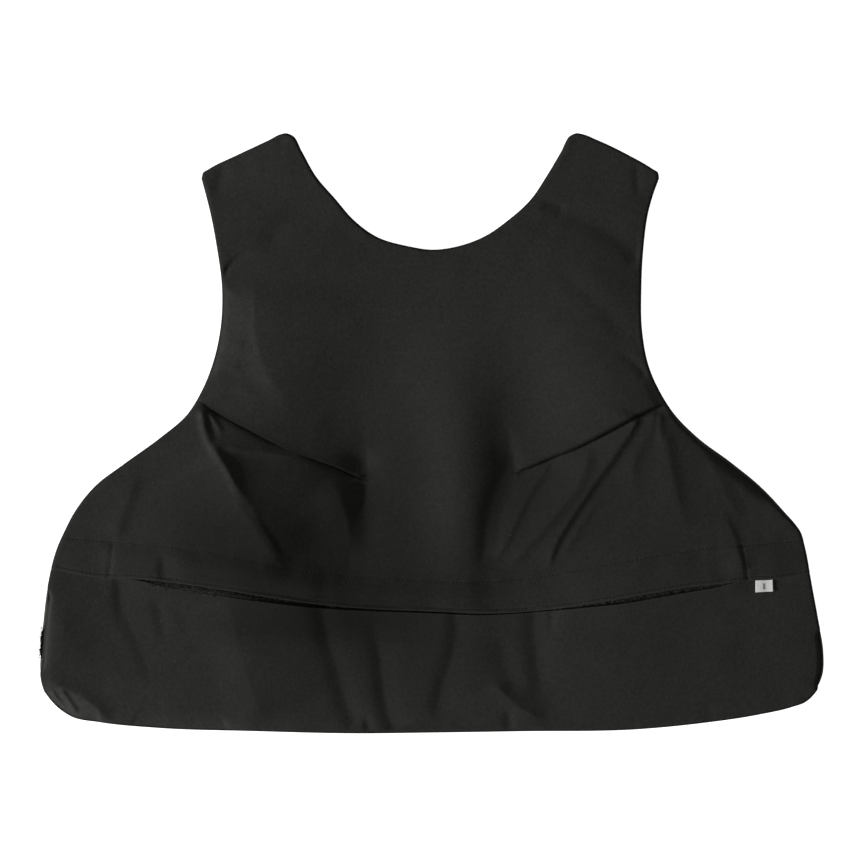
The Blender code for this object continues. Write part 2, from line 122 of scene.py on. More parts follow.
# Grids: columns and rows of each cloth, and how much finer the steps are at an edge. Rows are stretches: from one share
# of the way to another, in this many steps
UPPER_COLUMNS = 372
BELOW_DART_ROWS = ((0.0, 0.03, 8), (0.03, 0.32, 44), (0.32, 0.94, 48), (0.94, 1.0, 14))
ABOVE_DART_ROWS = ((0.0, 0.012, 1), (0.012, 0.08, 14), (0.08, 0.93, 82), (0.93, 0.98, 14), (0.98, 1.0, 14))
LOWER_COLUMNS = 400
LOWER_ROWS = ((0.0, 0.04, 12), (0.04, 0.92, 86), (0.92, 1.0, 14))
STRIKE_GRID = (230, 190)
PACK_GRID = (120, 96)
EDGE_FINENESS = 0.8
EDGE_SPREAD = 7.0

# Sealed pack: the place that its outline is drawn to and by how much, its space to each cover's inner face, and its
# least thickness
PACK_MIDDLE = np.array([0.0, -40.0])
PACK_INSET = 4.5
PACK_UNDER_BODY = 0.9
PACK_OVER_STRIKE = 0.5
LEAST_PACK = 0.2

# The cloth's way round a dart's lip: up the panel, up from the crease, both in shares of the lip's height
LIP_TURN = ((1.0, 0.02), (1.3, 0.14), (0.8, 0.26), (-0.30, 0.36), (-0.50, 0.56), (-0.34, 0.82), (0.1, 1.0))
LIP_ROWS = len(LIP_TURN)

# How a cloth's edge turns under at the seam: inwards, up
SEAM_TURN = ((-0.12, -0.40), (0.0, -0.85), (0.5, -1.15), (2.4, -1.18))

# How the hem turns under at its folded edge: down the panel, up; then the rows that it lies under
HEM_TURN = ((0.32, -0.18), (0.50, -0.55), (0.50, -0.95), (0.30, -1.30), (-0.30, -1.48), (-2.5, -1.50))
HEM_UNDER_ROWS = (4, 10, 20, 34)

# Edge tones, above 0 paler and under 0 darker: painted shade in the dart's lip, painted shade on the edge turned under
# at the seam, the hem's folded edge worn paler, painted shade on its underside, and how wide the pressed edge is
LIP_PAINTED_SHADE = -0.9
TURNED_PAINTED_SHADE = -1.0
FOLDED_TONE = 0.5
UNDER_HEM_PAINTED_SHADE = -0.6
PRESSED_WIDTH = 0.55

# Edge tones of the strike cloth: its face, painted shade on its turned edge in the seam, and painted light on its
# turned edge's rows where they show
STRIKE_TONE = -0.2
STRIKE_SEAM_PAINTED_SHADE = -0.9
STRIKE_EDGE_PAINTED_LIGHT = (2.0, 7.0, 10.0, 4.0)

# Stitches: pitch, length, radius, height over the cloth, dip at the ends, rings and sides of the thread, and the x of
# both ends of the upper and the lower row
STITCH_PITCH = 2.8
STITCH_LENGTH = 1.6
STITCH_RADIUS = 0.25
STITCH_OVER_CLOTH = 0.16
STITCH_DIP = 0.30
STITCH_RINGS = 7
STITCH_SIDES = 6
UPPER_ROW_ENDS = (-243, 246)
LOWER_ROW_ENDS = (-250.5, 251)

# Pile yarn: radius, rings and sides of one loop
YARN_RADIUS = 0.085
YARN_RINGS = 7
YARN_SIDES = 3

# Loops of pile in the slot: middle and spread in x of the crowded stretch, its ends, loops drawn and kept there, loops
# scattered over the whole slot, least gape that shows any, and size of a loop
CROWD_X = (-162, 26)
CROWD_ENDS = (-190, -95)
CROWD_DRAWN = 3400
CROWD_KEPT = 2600
SCATTERED = 260
PILE_LEAST_GAPE = 0.8
SLOT_LOOP = 0.62

# Loops of pile at the left side: y of the stretch's ends, count, and size of a loop
SIDE_PILE_Y = (-150, -129)
SIDE_LOOPS = 90
SIDE_LOOP = 0.6

# Size label: left end, right end, height and how far it starts below the hem; y of its upper edge
LABEL = (215.8, 227.2, 8.6, 0.5)
LABEL_TOP = -96.2

# Tape caught in the left side's seam: y of its lower end, length
SIDE_TAPE = (-149.0, 19.0)

# Dyes, and the colours of lint, ribbon and the ribbon's bar
BODY_DYE = (0.0238, 0.0240, 0.0216)
STRIKE_DYE = (0.0228, 0.0230, 0.0208)
PACK_DYE = (0.03, 0.03, 0.032)
TAPE_DYE = (0.010, 0.010, 0.0095)
# The pile yarn is painted four times lighter than the tape it stands up from: painted light, for the light its loops
# catch.
PILE_YARN_PAINTED_LIGHTER = (0.040, 0.040, 0.037)
THREAD_DYE = (0.006, 0.006, 0.006)
LINT = (0.16, 0.16, 0.15)
RIBBON = (0.84, 0.84, 0.81)
RIBBON_BAR = (0.12, 0.12, 0.12)

# Weave: direction across the ribs, wobble of the ribs in metres, and angle in radians that the ribs and the yarns turn
# through in one pitch
RIB_SLANT = (0.82, 0.57)
RIB_WOBBLE = 0.0009
RIB_TURN = 6.2832
YARN_TURN = 11.0

# Light: where the low light comes from, its strength and its spread in degrees, and the strength of the surroundings
KEY_FROM = (-1.0, -0.22, 0.333)
KEY = 4.75
KEY_SPREAD = 16.0
SKY = 0.22

# Floor, in metres: half its side, and how far it lies below the part
FLOOR_HALF = 6.0
FLOOR_BELOW = 0.0002

# Camera: length of the lens, width of the sensor, half the picture's width in pixels, and the height over the floor at
# which the picture's scale holds
LENS = 120.0
SENSOR = 36.0
PICTURE_HALF = 430.0
RIM_PLANE = 6.0

# Curves: length of the steps of a fold or the hem, of the rim as a whole, and of a border line, and how many of its
# widths a fold reaches
FOLD_STEP = 4.0
RIM_STEP = 3.0
LINE_STEP = 1.0
FOLD_WIDTHS = 3.6

# Unevenness: corners of the square lattice on each side, and cells that it is shifted by to keep its numbers positive
LATTICE = 96
LATTICE_SHIFT = 400

# Rim, one row for each height on the panel: y, x of the left edge, x of the right edge; then the neck's lowest place,
# and the row of the shoulders' outer corners
EDGE = (
    (-172.0, -258.0, 256.6),
    (-160.0, -260.6, 261.2),
    (-146.0, -260.4, 261.6),
    (-124.0, -258.6, 258.0),
    (-100.0, -255.2, 253.6),
    (-76.0, -249.0, 249.2),
    (-66.0, -244.6, 246.4),
    (-52.0, -237.2, 235.3),
    (-36.0, -224.6, 219.8),
    (-20.0, -203.8, 199.8),
    (-4.0, -181.2, 178.0),
    (12.0, -162.4, 162.0),
    (28.0, -152.4, 151.8),
    (44.0, -145.8, 144.8),
    (68.0, -140.2, 140.2),
    (96.0, -139.0, 139.8),
    (124.0, -142.6, 141.4),
    (148.0, -147.2, 144.8),
    (163.0, -151.0, 149.2),
    (170.0, -152.8, 151.8),
    (173.6, -151.8, 151.2),
    (176.2, -148.0, 147.6),
    (186.0, -128.2, 130.6),
    (196.0, -107.0, 109.6),
    (199.2, -100.6, 101.6),
    (200.0, -96.6, 97.0),
    (198.6, -92.6, 93.2),
    (188.0, -86.2, 86.9),
    (172.0, -77.2, 77.4),
    (156.0, -63.6, 66.6),
    (142.0, -51.4, 51.4),
    (131.0, -36.4, 35.4),
    (124.6, -15.4, 18.4),
)
NECK_LOW = (1.0, 122.2)
SHOULDER_ROW = 19

# Lower rim, left to right: x, y
BOTTOM = (
    (-252.6, -179.6),
    (-240.8, -188.4),
    (-220.6, -192.4),
    (-181.0, -196.2),
    (-120.0, -198.2),
    (-50.0, -199.8),
    (0.0, -199.3),
    (60.0, -198.4),
    (139.0, -196.9),
    (180.0, -193.0),
    (219.0, -187.2),
    (240.0, -182.4),
    (249.6, -178.8),
)

# Hem of the upper cover: x, y of its folded edge, y of its upper stitch row, how far the slot gapes under it
HEM = (
    (-262.0, -88.6, -68.4, 0.3),
    (-214.0, -95.8, -72.3, 0.3),
    (-199.0, -96.1, -73.4, 0.9),
    (-181.0, -97.3, -74.7, 3.2),
    (-160.0, -99.8, -77.2, 4.6),
    (-141.3, -102.4, -79.7, 4.9),
    (-104.7, -108.2, -87.0, 4.3),
    (-71.3, -113.0, -93.7, 3.2),
    (-40.7, -115.8, -95.6, 2.1),
    (0.0, -117.4, -98.3, 2.0),
    (36.0, -119.0, -99.0, 1.8),
    (68.7, -117.5, -96.0, 1.5),
    (108.7, -112.3, -89.2, 3.0),
    (126.0, -109.3, -86.0, 4.2),
    (154.7, -104.3, -80.6, 4.4),
    (179.0, -100.7, -77.4, 3.8),
    (191.3, -99.5, -76.0, 3.0),
    (203.0, -98.2, -75.1, 1.0),
    (211.3, -97.5, -74.6, 0.3),
    (228.7, -96.7, -73.2, 0.3),
    (251.3, -93.4, -71.5, 0.3),
    (262.0, -91.9, -70.6, 0.3),
)

# Broad forms of the whole panel: name, centre x, centre y, half width x, half width y, height, flatness of the top
FORMS = (
    ("whole panel", 0.0, -10.0, 205.0, 150.0, 8.3, 2.5),
    ("left hollow", -36.0, -8.0, 43.0, 88.0, -7.2, 1.0),
    ("right hollow", 62.0, 2.0, 35.0, 62.0, -6.3, 1.0),
    ("left plateau", -128.0, -95.0, 78.0, 85.0, 4.8, 1.3),
    ("right chest", 103.0, 88.0, 52.0, 58.0, 3.5, 1.0),
    ("column between the cups", 23.0, -40.0, 19.0, 60.0, 2.6, 1.0),
    ("lower right", 128.0, -160.0, 60.0, 45.0, 3.0, 1.0),
    ("lower middle", 62.0, -108.0, 52.0, 50.0, -4.0, 1.0),
)

# Main folds of the whole panel, walked up the panel: name, points of the crest or valley, height, width on the left and
# on the right of the walk, how sharp the crest is, share of the length that fades in at the start and out at the end
MAIN_FOLDS = (
    (
        "left cup",
        ((-60, -128), (-55, -90), (-50, -55), (-47, -28), (-46, 4), (-48, 34)),
        -3.4, 30.0, 20.0, 0.4, 0.4, 0.4,
    ),
    (
        "left crest",
        ((-94, -90), (-106, -70), (-125, -38), (-144, -10), (-149, 6)),
        3.2, 30.0, 24.0, 0.8, 0.25, 0.15,
    ),
    (
        "right cup",
        ((36, -112), (42, -84), (47, -54), (56, -26), (50, 0), (40, 34)),
        -1.8, 13.0, 26.0, 0.3, 0.4, 0.4,
    ),
)

# Flat landings on the strike side: name, centre x, centre y, width, depth, turn
LANDINGS = (
    ("left shoulder", -119.0, 157.0, 36.0, 22.0, 27.0),
    ("right shoulder", 119.0, 157.0, 36.0, 22.0, -27.0),
    ("left side", -222.0, -120.0, 40.0, 50.0, 0.0),
    ("right side", 222.0, -122.0, 40.0, 50.0, 0.0),
)

# Line through both bust darts, from the left armhole to the right one: x, y, height of the lip there, depth of the
# crease under the lip; then how far the lip reaches above the line, and the crease below it
DART_LINE = (
    (-155.8, 22.6, 0.6, 0.8),
    (-151.0, 20.0, 1.0, 1.9),
    (-138.0, 12.0, 1.2, 2.4),
    (-121.0, 3.0, 1.2, 2.4),
    (-104.0, -6.0, 1.0, 1.7),
    (-88.7, -13.0, 0.7, 0.3),
    (-76.7, -17.0, 1.0, 1.8),
    (-63.3, -21.7, 1.2, 2.8),
    (-49.0, -28.3, 1.0, 2.2),
    (-38.0, -32.5, 0.0, 0.0),
    (-10.0, -38.0, 0.0, 0.0),
    (20.0, -37.5, 0.0, 0.0),
    (57.0, -26.0, 0.0, 0.0),
    (61.0, -24.2, 0.7, 1.4),
    (67.3, -21.7, 1.1, 1.9),
    (79.3, -16.3, 1.5, 1.6),
    (94.7, -10.3, 1.6, 1.4),
    (108.0, -3.7, 1.6, 1.4),
    (125.3, 5.7, 1.6, 1.5),
    (140.7, 13.7, 1.5, 1.6),
    (149.3, 17.3, 1.3, 1.2),
    (157.6, 19.6, 0.6, 0.6),
)
LIP_REACH = 24.0
CREASE_REACH = 2.6

# Small forms of the body-side cloth: name, pixel x, pixel y, half width x, half width y, height, flatness of the top
CLOTH_FORMS = (
    ("pocket at the left dart's tip", 357.0, 462.0, 9.0, 8.0, -3.0, 1.0),
    ("knot at the left dart's tip", 358.0, 478.0, 2.2, 1.8, 0.8, 1.0),
    ("pocket at the right dart's tip", 508.0, 462.0, 10.0, 10.0, -1.3, 1.0),
    ("bulge under the slot", 496.0, 706.0, 22.0, 13.0, 1.6, 1.2),
    ("slack above the left tack", 172.0, 524.0, 24.0, 18.0, 0.8, 1.0),
    ("slack beside the right tack", 700.0, 520.0, 18.0, 18.0, 0.4, 1.0),
)

# Places where the whole edge hangs lower, in pixels: name, pixel x, pixel y, half width x, half width y, height,
# flatness
LOW_EDGES = (
    ("lower left corner", 50.0, 712.0, 17.0, 14.0, -5.0, 1.2),
    ("left lower side", 41.0, 626.0, 4.6, 34.0, -2.4, 1.0),
)

# Folds of the cloth above the slot, in pixels of the picture: name, points, height, width on the left and on the right
# of the walk in millimetres, how sharp the crest is, share that fades in, share that fades out
UPPER_FOLDS = (
    ("left wing", ((117, 545), (122, 520), (133, 490), (140, 463)), 1.3, 16.0, 4.5, 0.4, 0.2, 0.4),
    (
        "left ridge",
        ((252, 508), (240, 490), (229, 468), (213, 444), (205, 424), (203, 408)),
        2.4, 2.8, 3.0, 0.2, 0.4, 0.06,
    ),
    ("small ridge under the left root", ((224, 437), (219, 427), (210, 412)), 1.0, 1.8, 2.0, 0.2, 0.3, 0.1),
    ("slot between the root's ridges", ((217, 448), (212, 437), (208, 418)), -0.9, 1.4, 1.6, 0.3, 0.2, 0.3),
    ("top of the left triangle", ((212, 442), (236, 449), (278, 454), (310, 462)), 1.4, 7.0, 4.5, 0.8, 0.1, 0.5),
    (
        "wall of the left cup",
        ((363, 530), (366, 505), (367, 480), (366, 455), (362, 425)),
        -1.9, 8.0, 30.0, 0.55, 0.45, 0.4,
    ),
    ("swell beside the left cup", ((354, 566), (349, 530), (342, 500), (326, 474)), 2.6, 17.0, 8.0, 0.2, 0.4, 0.3),
    (
        "fall behind the left ridge",
        ((292, 576), (272, 550), (256, 526), (234, 490), (210, 448)),
        2.8, 60.0, 18.0, 0.85, 0.2, 0.12,
    ),
    ("second line in the left triangle", ((288, 560), (272, 534), (254, 508)), -0.7, 1.6, 5.0, 0.5, 0.3, 0.4),
    ("under the left tip", ((354, 522), (360, 505), (362, 480)), -1.9, 8.0, 3.4, 0.3, 0.5, 0.12),
    (
        "left armhole facet",
        ((300, 424), (283, 397), (262, 360), (256, 330), (256, 276)),
        2.7, 17.0, 90.0, 0.9, 0.35, 0.2,
    ),
    ("left facet wrinkle, high", ((214, 352), (232, 345), (250, 347)), 0.7, 4.0, 3.0, 0.3, 0.3, 0.3),
    ("left facet wrinkle, middle", ((208, 376), (226, 366), (246, 372)), 0.7, 4.5, 3.0, 0.3, 0.3, 0.3),
    ("left facet wrinkle, low", ((214, 396), (236, 388), (262, 400)), 0.5, 4.5, 3.5, 0.3, 0.3, 0.3),
    (
        "left armhole crease",
        ((220, 280), (225, 272), (232, 263), (243, 257), (262, 252)),
        -1.3, 1.4, 2.6, 0.5, 0.05, 0.5,
    ),
    ("left shoulder arc", ((252, 252), (272, 237), (290, 220), (315, 211), (342, 210)), -0.8, 8.0, 12.0, 0.2, 0.3, 0.4),
    ("left shoulder streak", ((216, 200), (220, 182), (226, 160)), -0.7, 4.0, 6.0, 0.2, 0.3, 0.4),
    (
        "right fan one",
        ((546, 572), (556, 543), (570, 519), (584, 498), (596, 480), (610, 461), (620, 446), (630, 431), (639, 414)),
        1.9, 15.0, 2.4, 0.6, 0.12, 0.06,
    ),
    (
        "right fan two",
        ((638, 500), (632, 480), (634, 458), (643, 441), (651, 424), (653, 408)),
        0.9, 8.0, 4.0, 0.3, 0.5, 0.1,
    ),
    ("right fan ridge", ((660, 446), (659, 428), (660, 412)), 0.7, 2.4, 2.4, 0.2, 0.4, 0.2),
    (
        "right fan three",
        ((692, 545), (683, 519), (676, 496), (671, 473), (666, 447), (664, 424)),
        1.0, 9.0, 4.8, 0.4, 0.55, 0.15,
    ),
    ("right fan four", ((744, 572), (740, 556), (733, 536), (724, 516), (714, 497)), 0.9, 14.0, 2.4, 0.4, 0.06, 0.6),
    ("right wing's edge", ((746, 522), (731, 505), (719, 480), (704, 455)), 0.7, 12.0, 5.0, 0.4, 0.3, 0.3),
    (
        "right fan five",
        ((492, 568), (508, 538), (522, 508), (532, 489), (543, 473), (551, 460)),
        0.9, 14.0, 2.6, 0.5, 0.2, 0.12,
    ),
    (
        "right fan six",
        ((503, 573), (522, 552), (542, 529), (558, 510), (574, 491), (584, 470), (590, 446)),
        1.5, 18.0, 4.4, 0.4, 0.2, 0.12,
    ),
    ("right fan seven", ((560, 560), (574, 536), (590, 510), (604, 488)), 0.6, 4.0, 3.0, 0.3, 0.3, 0.4),
    (
        "crease from the right tip",
        ((478, 580), (483, 556), (487, 514), (497, 484), (513, 460)),
        -1.3, 5.0, 12.0, 0.5, 0.3, 0.25,
    ),
    ("dimple in the band, left", ((165, 582), (165, 566), (164, 552)), -1.3, 3.4, 9.0, 0.2, 0.2, 0.4),
    ("dimple in the band, right", ((724, 582), (718, 566), (710, 550)), -0.6, 5.0, 13.0, 0.2, 0.1, 0.5),
    ("dimple in the band, middle", ((481, 612), (484, 592), (486, 570)), -0.5, 6.0, 9.0, 0.2, 0.3, 0.3),
    ("hollow across the band", ((326, 606), (325, 590), (322, 566), (312, 545)), -0.6, 6.0, 14.0, 0.3, 0.2, 0.4),
    ("right shoulder crease", ((538, 205), (552, 206), (568, 211)), -0.9, 2.0, 4.0, 0.4, 0.3, 0.3),
    (
        "right shoulder arc",
        ((540, 206), (560, 212), (596, 226), (622, 244), (642, 266)),
        -1.0, 10.0, 6.0, 0.2, 0.3, 0.1,
    ),
    ("right chest line", ((545, 258), (572, 282), (600, 308), (632, 344)), -0.7, 9.0, 6.0, 0.1, 0.3, 0.2),
    ("right shoulder streak", ((638, 200), (637, 182), (636, 162)), -0.7, 3.0, 4.0, 0.3, 0.3, 0.3),
    ("right chest sweep", ((500, 250), (560, 300), (616, 346), (640, 372)), -0.7, 16.0, 16.0, 0.0, 0.4, 0.2),
    ("right armhole crease", ((612, 352), (630, 360), (646, 378)), -0.8, 3.0, 4.0, 0.4, 0.5, 0.1),
)

# Folds of the cloth under the slot, with the same columns
LOWER_FOLDS = (
    ("under the left tack", ((124, 636), (121, 604), (119, 568)), -1.5, 4.0, 11.0, 0.3, 0.75, 0.06),
    ("lower fold one", ((156, 692), (150, 672), (140, 646), (128, 618), (122, 596)), -0.7, 5.0, 16.0, 0.3, 0.4, 0.3),
    ("lower fold two", ((170, 650), (162, 622), (156, 596)), -0.8, 4.0, 9.0, 0.3, 0.5, 0.1),
    ("lower fold near two", ((196, 650), (184, 620), (176, 600)), -0.5, 5.0, 8.0, 0.3, 0.5, 0.1),
    (
        "lower fold three",
        ((357, 728), (348, 708), (342, 688), (336, 666), (330, 646), (326, 628), (322, 610), (319, 590)),
        -1.5, 7.0, 9.0, 0.3, 0.05, 0.08,
    ),
    (
        "fall before fold three",
        ((268, 724), (254, 694), (241, 650), (232, 606), (229, 588)),
        2.2, 16.0, 42.0, 0.4, 0.15, 0.08,
    ),
    (
        "lower fold four",
        ((394, 730), (388, 714), (384, 696), (382, 676), (380, 656), (374, 630), (366, 606)),
        -1.7, 6.0, 11.0, 0.4, 0.02, 0.5,
    ),
    (
        "lower fold five",
        ((436, 722), (439, 700), (444, 680), (452, 656), (456, 634), (455, 615), (454, 596)),
        -1.2, 5.0, 11.0, 0.3, 0.15, 0.12,
    ),
    ("lower fold six", ((520, 702), (512, 684), (505, 664), (500, 644), (492, 626)), -0.9, 8.0, 8.0, 0.2, 0.3, 0.4),
    ("tent under fold six", ((548, 722), (522, 708), (503, 692), (488, 676)), 1.7, 7.0, 10.0, 0.7, 0.3, 0.25),
    ("dent in the tent", ((510, 730), (509, 716), (508, 706)), -0.9, 3.5, 3.5, 0.3, 0.05, 0.4),
    (
        "lower fold seven",
        ((543, 704), (540, 684), (537, 660), (535, 640), (534, 617), (533, 598)),
        -1.5, 6.5, 12.0, 0.2, 0.3, 0.08,
    ),
    ("lower fold eight", ((551, 640), (551, 617), (551, 600)), -0.6, 2.6, 5.0, 0.4, 0.5, 0.1),
    ("pucker at the lower edge", ((368, 732), (367, 722), (365, 712)), -0.9, 2.4, 4.0, 0.3, 0.05, 0.5),
    ("ridge before the first tuck", ((51, 688), (58, 699), (66, 711)), 1.3, 1.4, 4.0, 0.4, 0.25, 0.2),
    ("ridge before the second tuck", ((60, 686), (69, 699), (79, 715)), 1.6, 1.6, 4.5, 0.4, 0.25, 0.2),
    ("corner's upper edge", ((44, 678), (66, 688), (88, 700), (112, 722)), 1.5, 6.0, 6.0, 0.6, 0.2, 0.2),
    ("left lower side", ((60, 672), (64, 640), (64, 604)), 0.8, 8.0, 14.0, 0.3, 0.3, 0.3),
    ("right lower sweep", ((700, 690), (716, 648), (740, 604)), 0.7, 14.0, 14.0, 0.1, 0.4, 0.3),
)

# Painted light and shade: broad places where the cloth is painted paler or darker, for light and shade that the relief
# doesn't give, in pixels: name, pixel x, pixel y, half width x, half width y in millimetres, share paler or darker,
# flatness of the middle
PAINTED_LIGHT_AND_SHADE_PLACES = (
    ("painted shade on the left wing", 180.0, 500.0, 52.0, 36.0, -0.20, 1.3),
    ("painted shade by the left cup", 240.0, 552.0, 46.0, 32.0, -0.40, 1.3),
    ("painted shade beside the left tip", 400.0, 476.0, 20.0, 34.0, -0.34, 1.0),
    ("painted shade under both cups", 366.0, 570.0, 62.0, 42.0, -0.32, 1.2),
    ("painted shade on the left band", 148.0, 586.0, 60.0, 17.0, -0.15, 1.2),
    ("painted shade on the right side", 818.0, 640.0, 20.0, 72.0, -0.14, 1.0),
    ("painted light on the left chest", 314.0, 385.0, 40.0, 48.0, 0.14, 1.0),
    ("painted shade by the right cup", 548.0, 498.0, 38.0, 44.0, -0.34, 1.2),
    ("shaded under the slot", 300.0, 622.0, 72.0, 15.0, -0.36, 1.2),
    ("painted shade below the slot", 405.0, 655.0, 80.0, 32.0, -0.17, 1.4),
    ("painted light on the left shoulder", 255.0, 155.0, 46.0, 40.0, 0.30, 1.0),
    ("painted light on the left armhole", 245.0, 350.0, 24.0, 52.0, 0.20, 1.0),
    ("painted light on the lower left", 104.0, 706.0, 62.0, 20.0, 0.30, 1.0),
    ("painted light along the lower rim", 200.0, 727.0, 90.0, 7.0, 0.30, 1.0),
    ("painted light on the right chest", 560.0, 300.0, 60.0, 50.0, 0.12, 1.0),
)

# Stretches of the rim where the cover slopes off wide instead of round, in pixels: name, points, how wide the slope
# grows beyond RIM_REACH, how far along the rim this reaches
WIDE_SLOPES = (
    ("left armhole", ((206, 280), (205, 330), (206, 385)), 12.0, 24.0),
    ("left lower corner", ((42, 680), (56, 704), (110, 722)), 6.0, 20.0),
    ("lower left rim", ((110, 722), (170, 729), (250, 732)), 5.0, 20.0),
    ("right armhole", ((690, 432), (740, 472), (790, 515)), 3.0, 20.0),
)

# Stretches where the strike cloth's edge shows outside a low seam, in pixels: name, points, how wide that edge shows,
# and whether the cover drops steeply there, 0 for no and over 1 for yes; then how far from the rim this reaches
SHOWING_EDGES = (
    ("right armhole", ((662, 398), (690, 432), (740, 472), (790, 515), (804, 534)), 0.9, 0.0),
    ("right lower side", ((822, 628), (824, 656), (820, 690)), 1.2, 1.4),
    ("left lower side", ((52, 586), (45, 616), (41, 646), (42, 676)), 1.2, 0.8),
)
EDGE_FADE = 9.0

# Straight rows of stitches beside the slot's ends, in pixels: name, first point, last point
TACKS = (
    ("left tack", (109.5, 577.0), (113.5, 544.0)),
    ("right tack", (746.5, 579.0), (740.0, 546.0)),
)


def on_panel(pixels):
    """Points of the picture as millimetres in the part's frame."""
    pixels = np.asarray(pixels, float)
    return np.stack(
        [(pixels[..., 0] - MIDDLE_PIXEL[0]) * PIXEL, (MIDDLE_PIXEL[1] - pixels[..., 1]) * PIXEL], axis=-1
    )


def run_of(line):
    """Distance along a line at each of its points, seen from above."""
    return np.concatenate([[0.0], np.cumsum(np.linalg.norm(np.diff(line[:, :2], axis=0), axis=1))])


def smooth_path(points, step):
    """A curve through the points, a Hermite cubic on each stretch, resampled at even steps of about this length."""
    knots = np.asarray(points, float)
    chord = np.linalg.norm(np.diff(knots[:, :2], axis=0), axis=1)
    reach = np.concatenate([[0.0], np.cumsum(chord)])
    slope = np.gradient(knots, reach, axis=0, edge_order=1)
    s = np.linspace(0, 1, 24, endpoint=False)[None, :, None]
    h = chord[:, None, None]
    curve = (
        (2 * s**3 - 3 * s**2 + 1) * knots[:-1, None]
        + (s**3 - 2 * s**2 + s) * h * slope[:-1, None]
        + (3 * s**2 - 2 * s**3) * knots[1:, None]
        + (s**3 - s**2) * h * slope[1:, None]
    ).reshape(-1, knots.shape[1])
    curve = np.vstack([curve, knots[-1:]])
    run = run_of(curve)
    at = np.linspace(0, run[-1], max(2, round(run[-1] / step) + 1))
    return np.stack([np.interp(at, run, column) for column in curve.T], axis=1)


def ease(t):
    """Nothing below 0, one above 1, and a smooth turn between."""
    t = np.clip(t, 0, 1)
    return t * t * (3 - 2 * t)


def near_line(points, line, reach):
    """Distance to a run of straight pieces, side of it, share of the way along, and the nearest point on it.

    Places farther off than the reach get the reach itself as their distance.
    """
    best = np.full(len(points), float(reach))
    side = np.zeros(len(points))
    share = np.zeros(len(points))
    nearest = np.zeros_like(points)
    lengths = np.linalg.norm(np.diff(line, axis=0), axis=1)
    run = np.concatenate([[0.0], np.cumsum(lengths)])
    for start, end, length, before in zip(line[:-1], line[1:], lengths, run):
        way = (end - start) / length
        close = np.flatnonzero(np.abs(points - (start + end) / 2).max(axis=1) < reach + length / 2)
        rel = points[close] - start
        t = np.clip(rel @ way, 0, length)
        off = rel - t[:, None] * way
        distance = np.hypot(off[:, 0], off[:, 1])
        closer = distance < best[close]
        chosen, rel, t = close[closer], rel[closer], t[closer]
        best[chosen] = distance[closer]
        side[chosen] = np.sign(way[0] * rel[:, 1] - way[1] * rel[:, 0])
        share[chosen] = (before + t) / run[-1]
        nearest[chosen] = start + t[:, None] * way
    return best, side, share, nearest


def fold(points, knots, height, left, right, sharp, rise, fall):
    """A ridge, or a valley where the height is negative, with its own width on each side of the curve.

    Across the curve it is a mix of a bell, exp(-t^2), and of a sharp crest, exp(-1.3 t), where t is the distance as a
    share of the width. Along the curve it fades in over the share rise and out over the share fall.
    """
    curve = smooth_path(knots, FOLD_STEP)
    reach = FOLD_WIDTHS * max(left, right)
    near = np.all((points > curve.min(axis=0) - reach) & (points < curve.max(axis=0) + reach), axis=1)
    out = np.zeros(len(points))
    distance, side, share, _ = near_line(points[near], curve, reach)
    t = distance / np.where(side > 0, left, right)
    across = (1 - sharp) * np.exp(-(t**2)) + sharp * np.exp(-1.3 * t)
    out[near] = height * across * ease(share / rise) * ease((1 - share) / fall)
    return out


def form(points, cx, cy, rx, ry, height, flatness):
    """A hill on an ellipse; a larger flatness gives it a broader top."""
    q = ((points[:, 0] - cx) / rx) ** 2 + ((points[:, 1] - cy) / ry) ** 2
    return height * np.exp(-(q**flatness))


def on_landing(points, cx, cy, width, depth, turn):
    """One on the landing's rectangle, easing to nothing over LANDING_FADE around it."""
    a = np.radians(turn)
    rel = points - (cx, cy)
    u = np.abs(rel[:, 0] * np.cos(a) + rel[:, 1] * np.sin(a)) - width / 2
    v = np.abs(rel[:, 1] * np.cos(a) - rel[:, 0] * np.sin(a)) - depth / 2
    return 1 - ease((np.hypot(np.maximum(u, 0), np.maximum(v, 0)) - 0.5) / LANDING_FADE)


def uneven(x, y, cell_x, cell_y, seed):
    """Smooth unevenness between -1 and 1: seeded random heights on a lattice of cells, eased between its corners."""
    lattice = np.random.default_rng(seed).uniform(-1, 1, (LATTICE, LATTICE))
    u, v = x / cell_x + LATTICE_SHIFT, y / cell_y + LATTICE_SHIFT
    i, j = np.floor(u).astype(int), np.floor(v).astype(int)
    s, t = ease(u - i), ease(v - j)
    i, j = i % (LATTICE - 1), j % (LATTICE - 1)
    low = lattice[i, j] * (1 - s) + lattice[i + 1, j] * s
    high = lattice[i, j + 1] * (1 - s) + lattice[i + 1, j + 1] * s
    return low * (1 - t) + high * t


def bent_onto_table(z):
    """Heights near the table or under it are bent onto it as a parabola."""
    bend = (np.clip(z, -TOUCH_DOWN, TOUCH_DOWN) + TOUCH_DOWN) ** 2 / (4 * TOUCH_DOWN)
    return np.maximum(bend, z)


def lying_forms(points):
    """Forms and main folds of the whole panel."""
    z = sum(form(points, *row[1:]) for row in FORMS)
    return z + sum(fold(points, *row[1:]) for row in MAIN_FOLDS)


def hem_at(x, column):
    """A column of the hem's table at each x, on a smooth curve through its rows."""
    table = np.array(HEM)
    curve = smooth_path(table[:, [0, column]], FOLD_STEP)
    return np.interp(x, curve[:, 0], curve[:, 1])


def hem_edge(x):
    """y of the hem's folded edge."""
    return hem_at(x, 1)


def stitch_row(x):
    """y of the hem's upper stitch row."""
    return hem_at(x, 2)


def slot_edge(x):
    """y of the lower cover's free edge: below the hem by the slot's gape."""
    return hem_edge(x) - np.maximum(hem_at(x, 3), LEAST_GAPE)


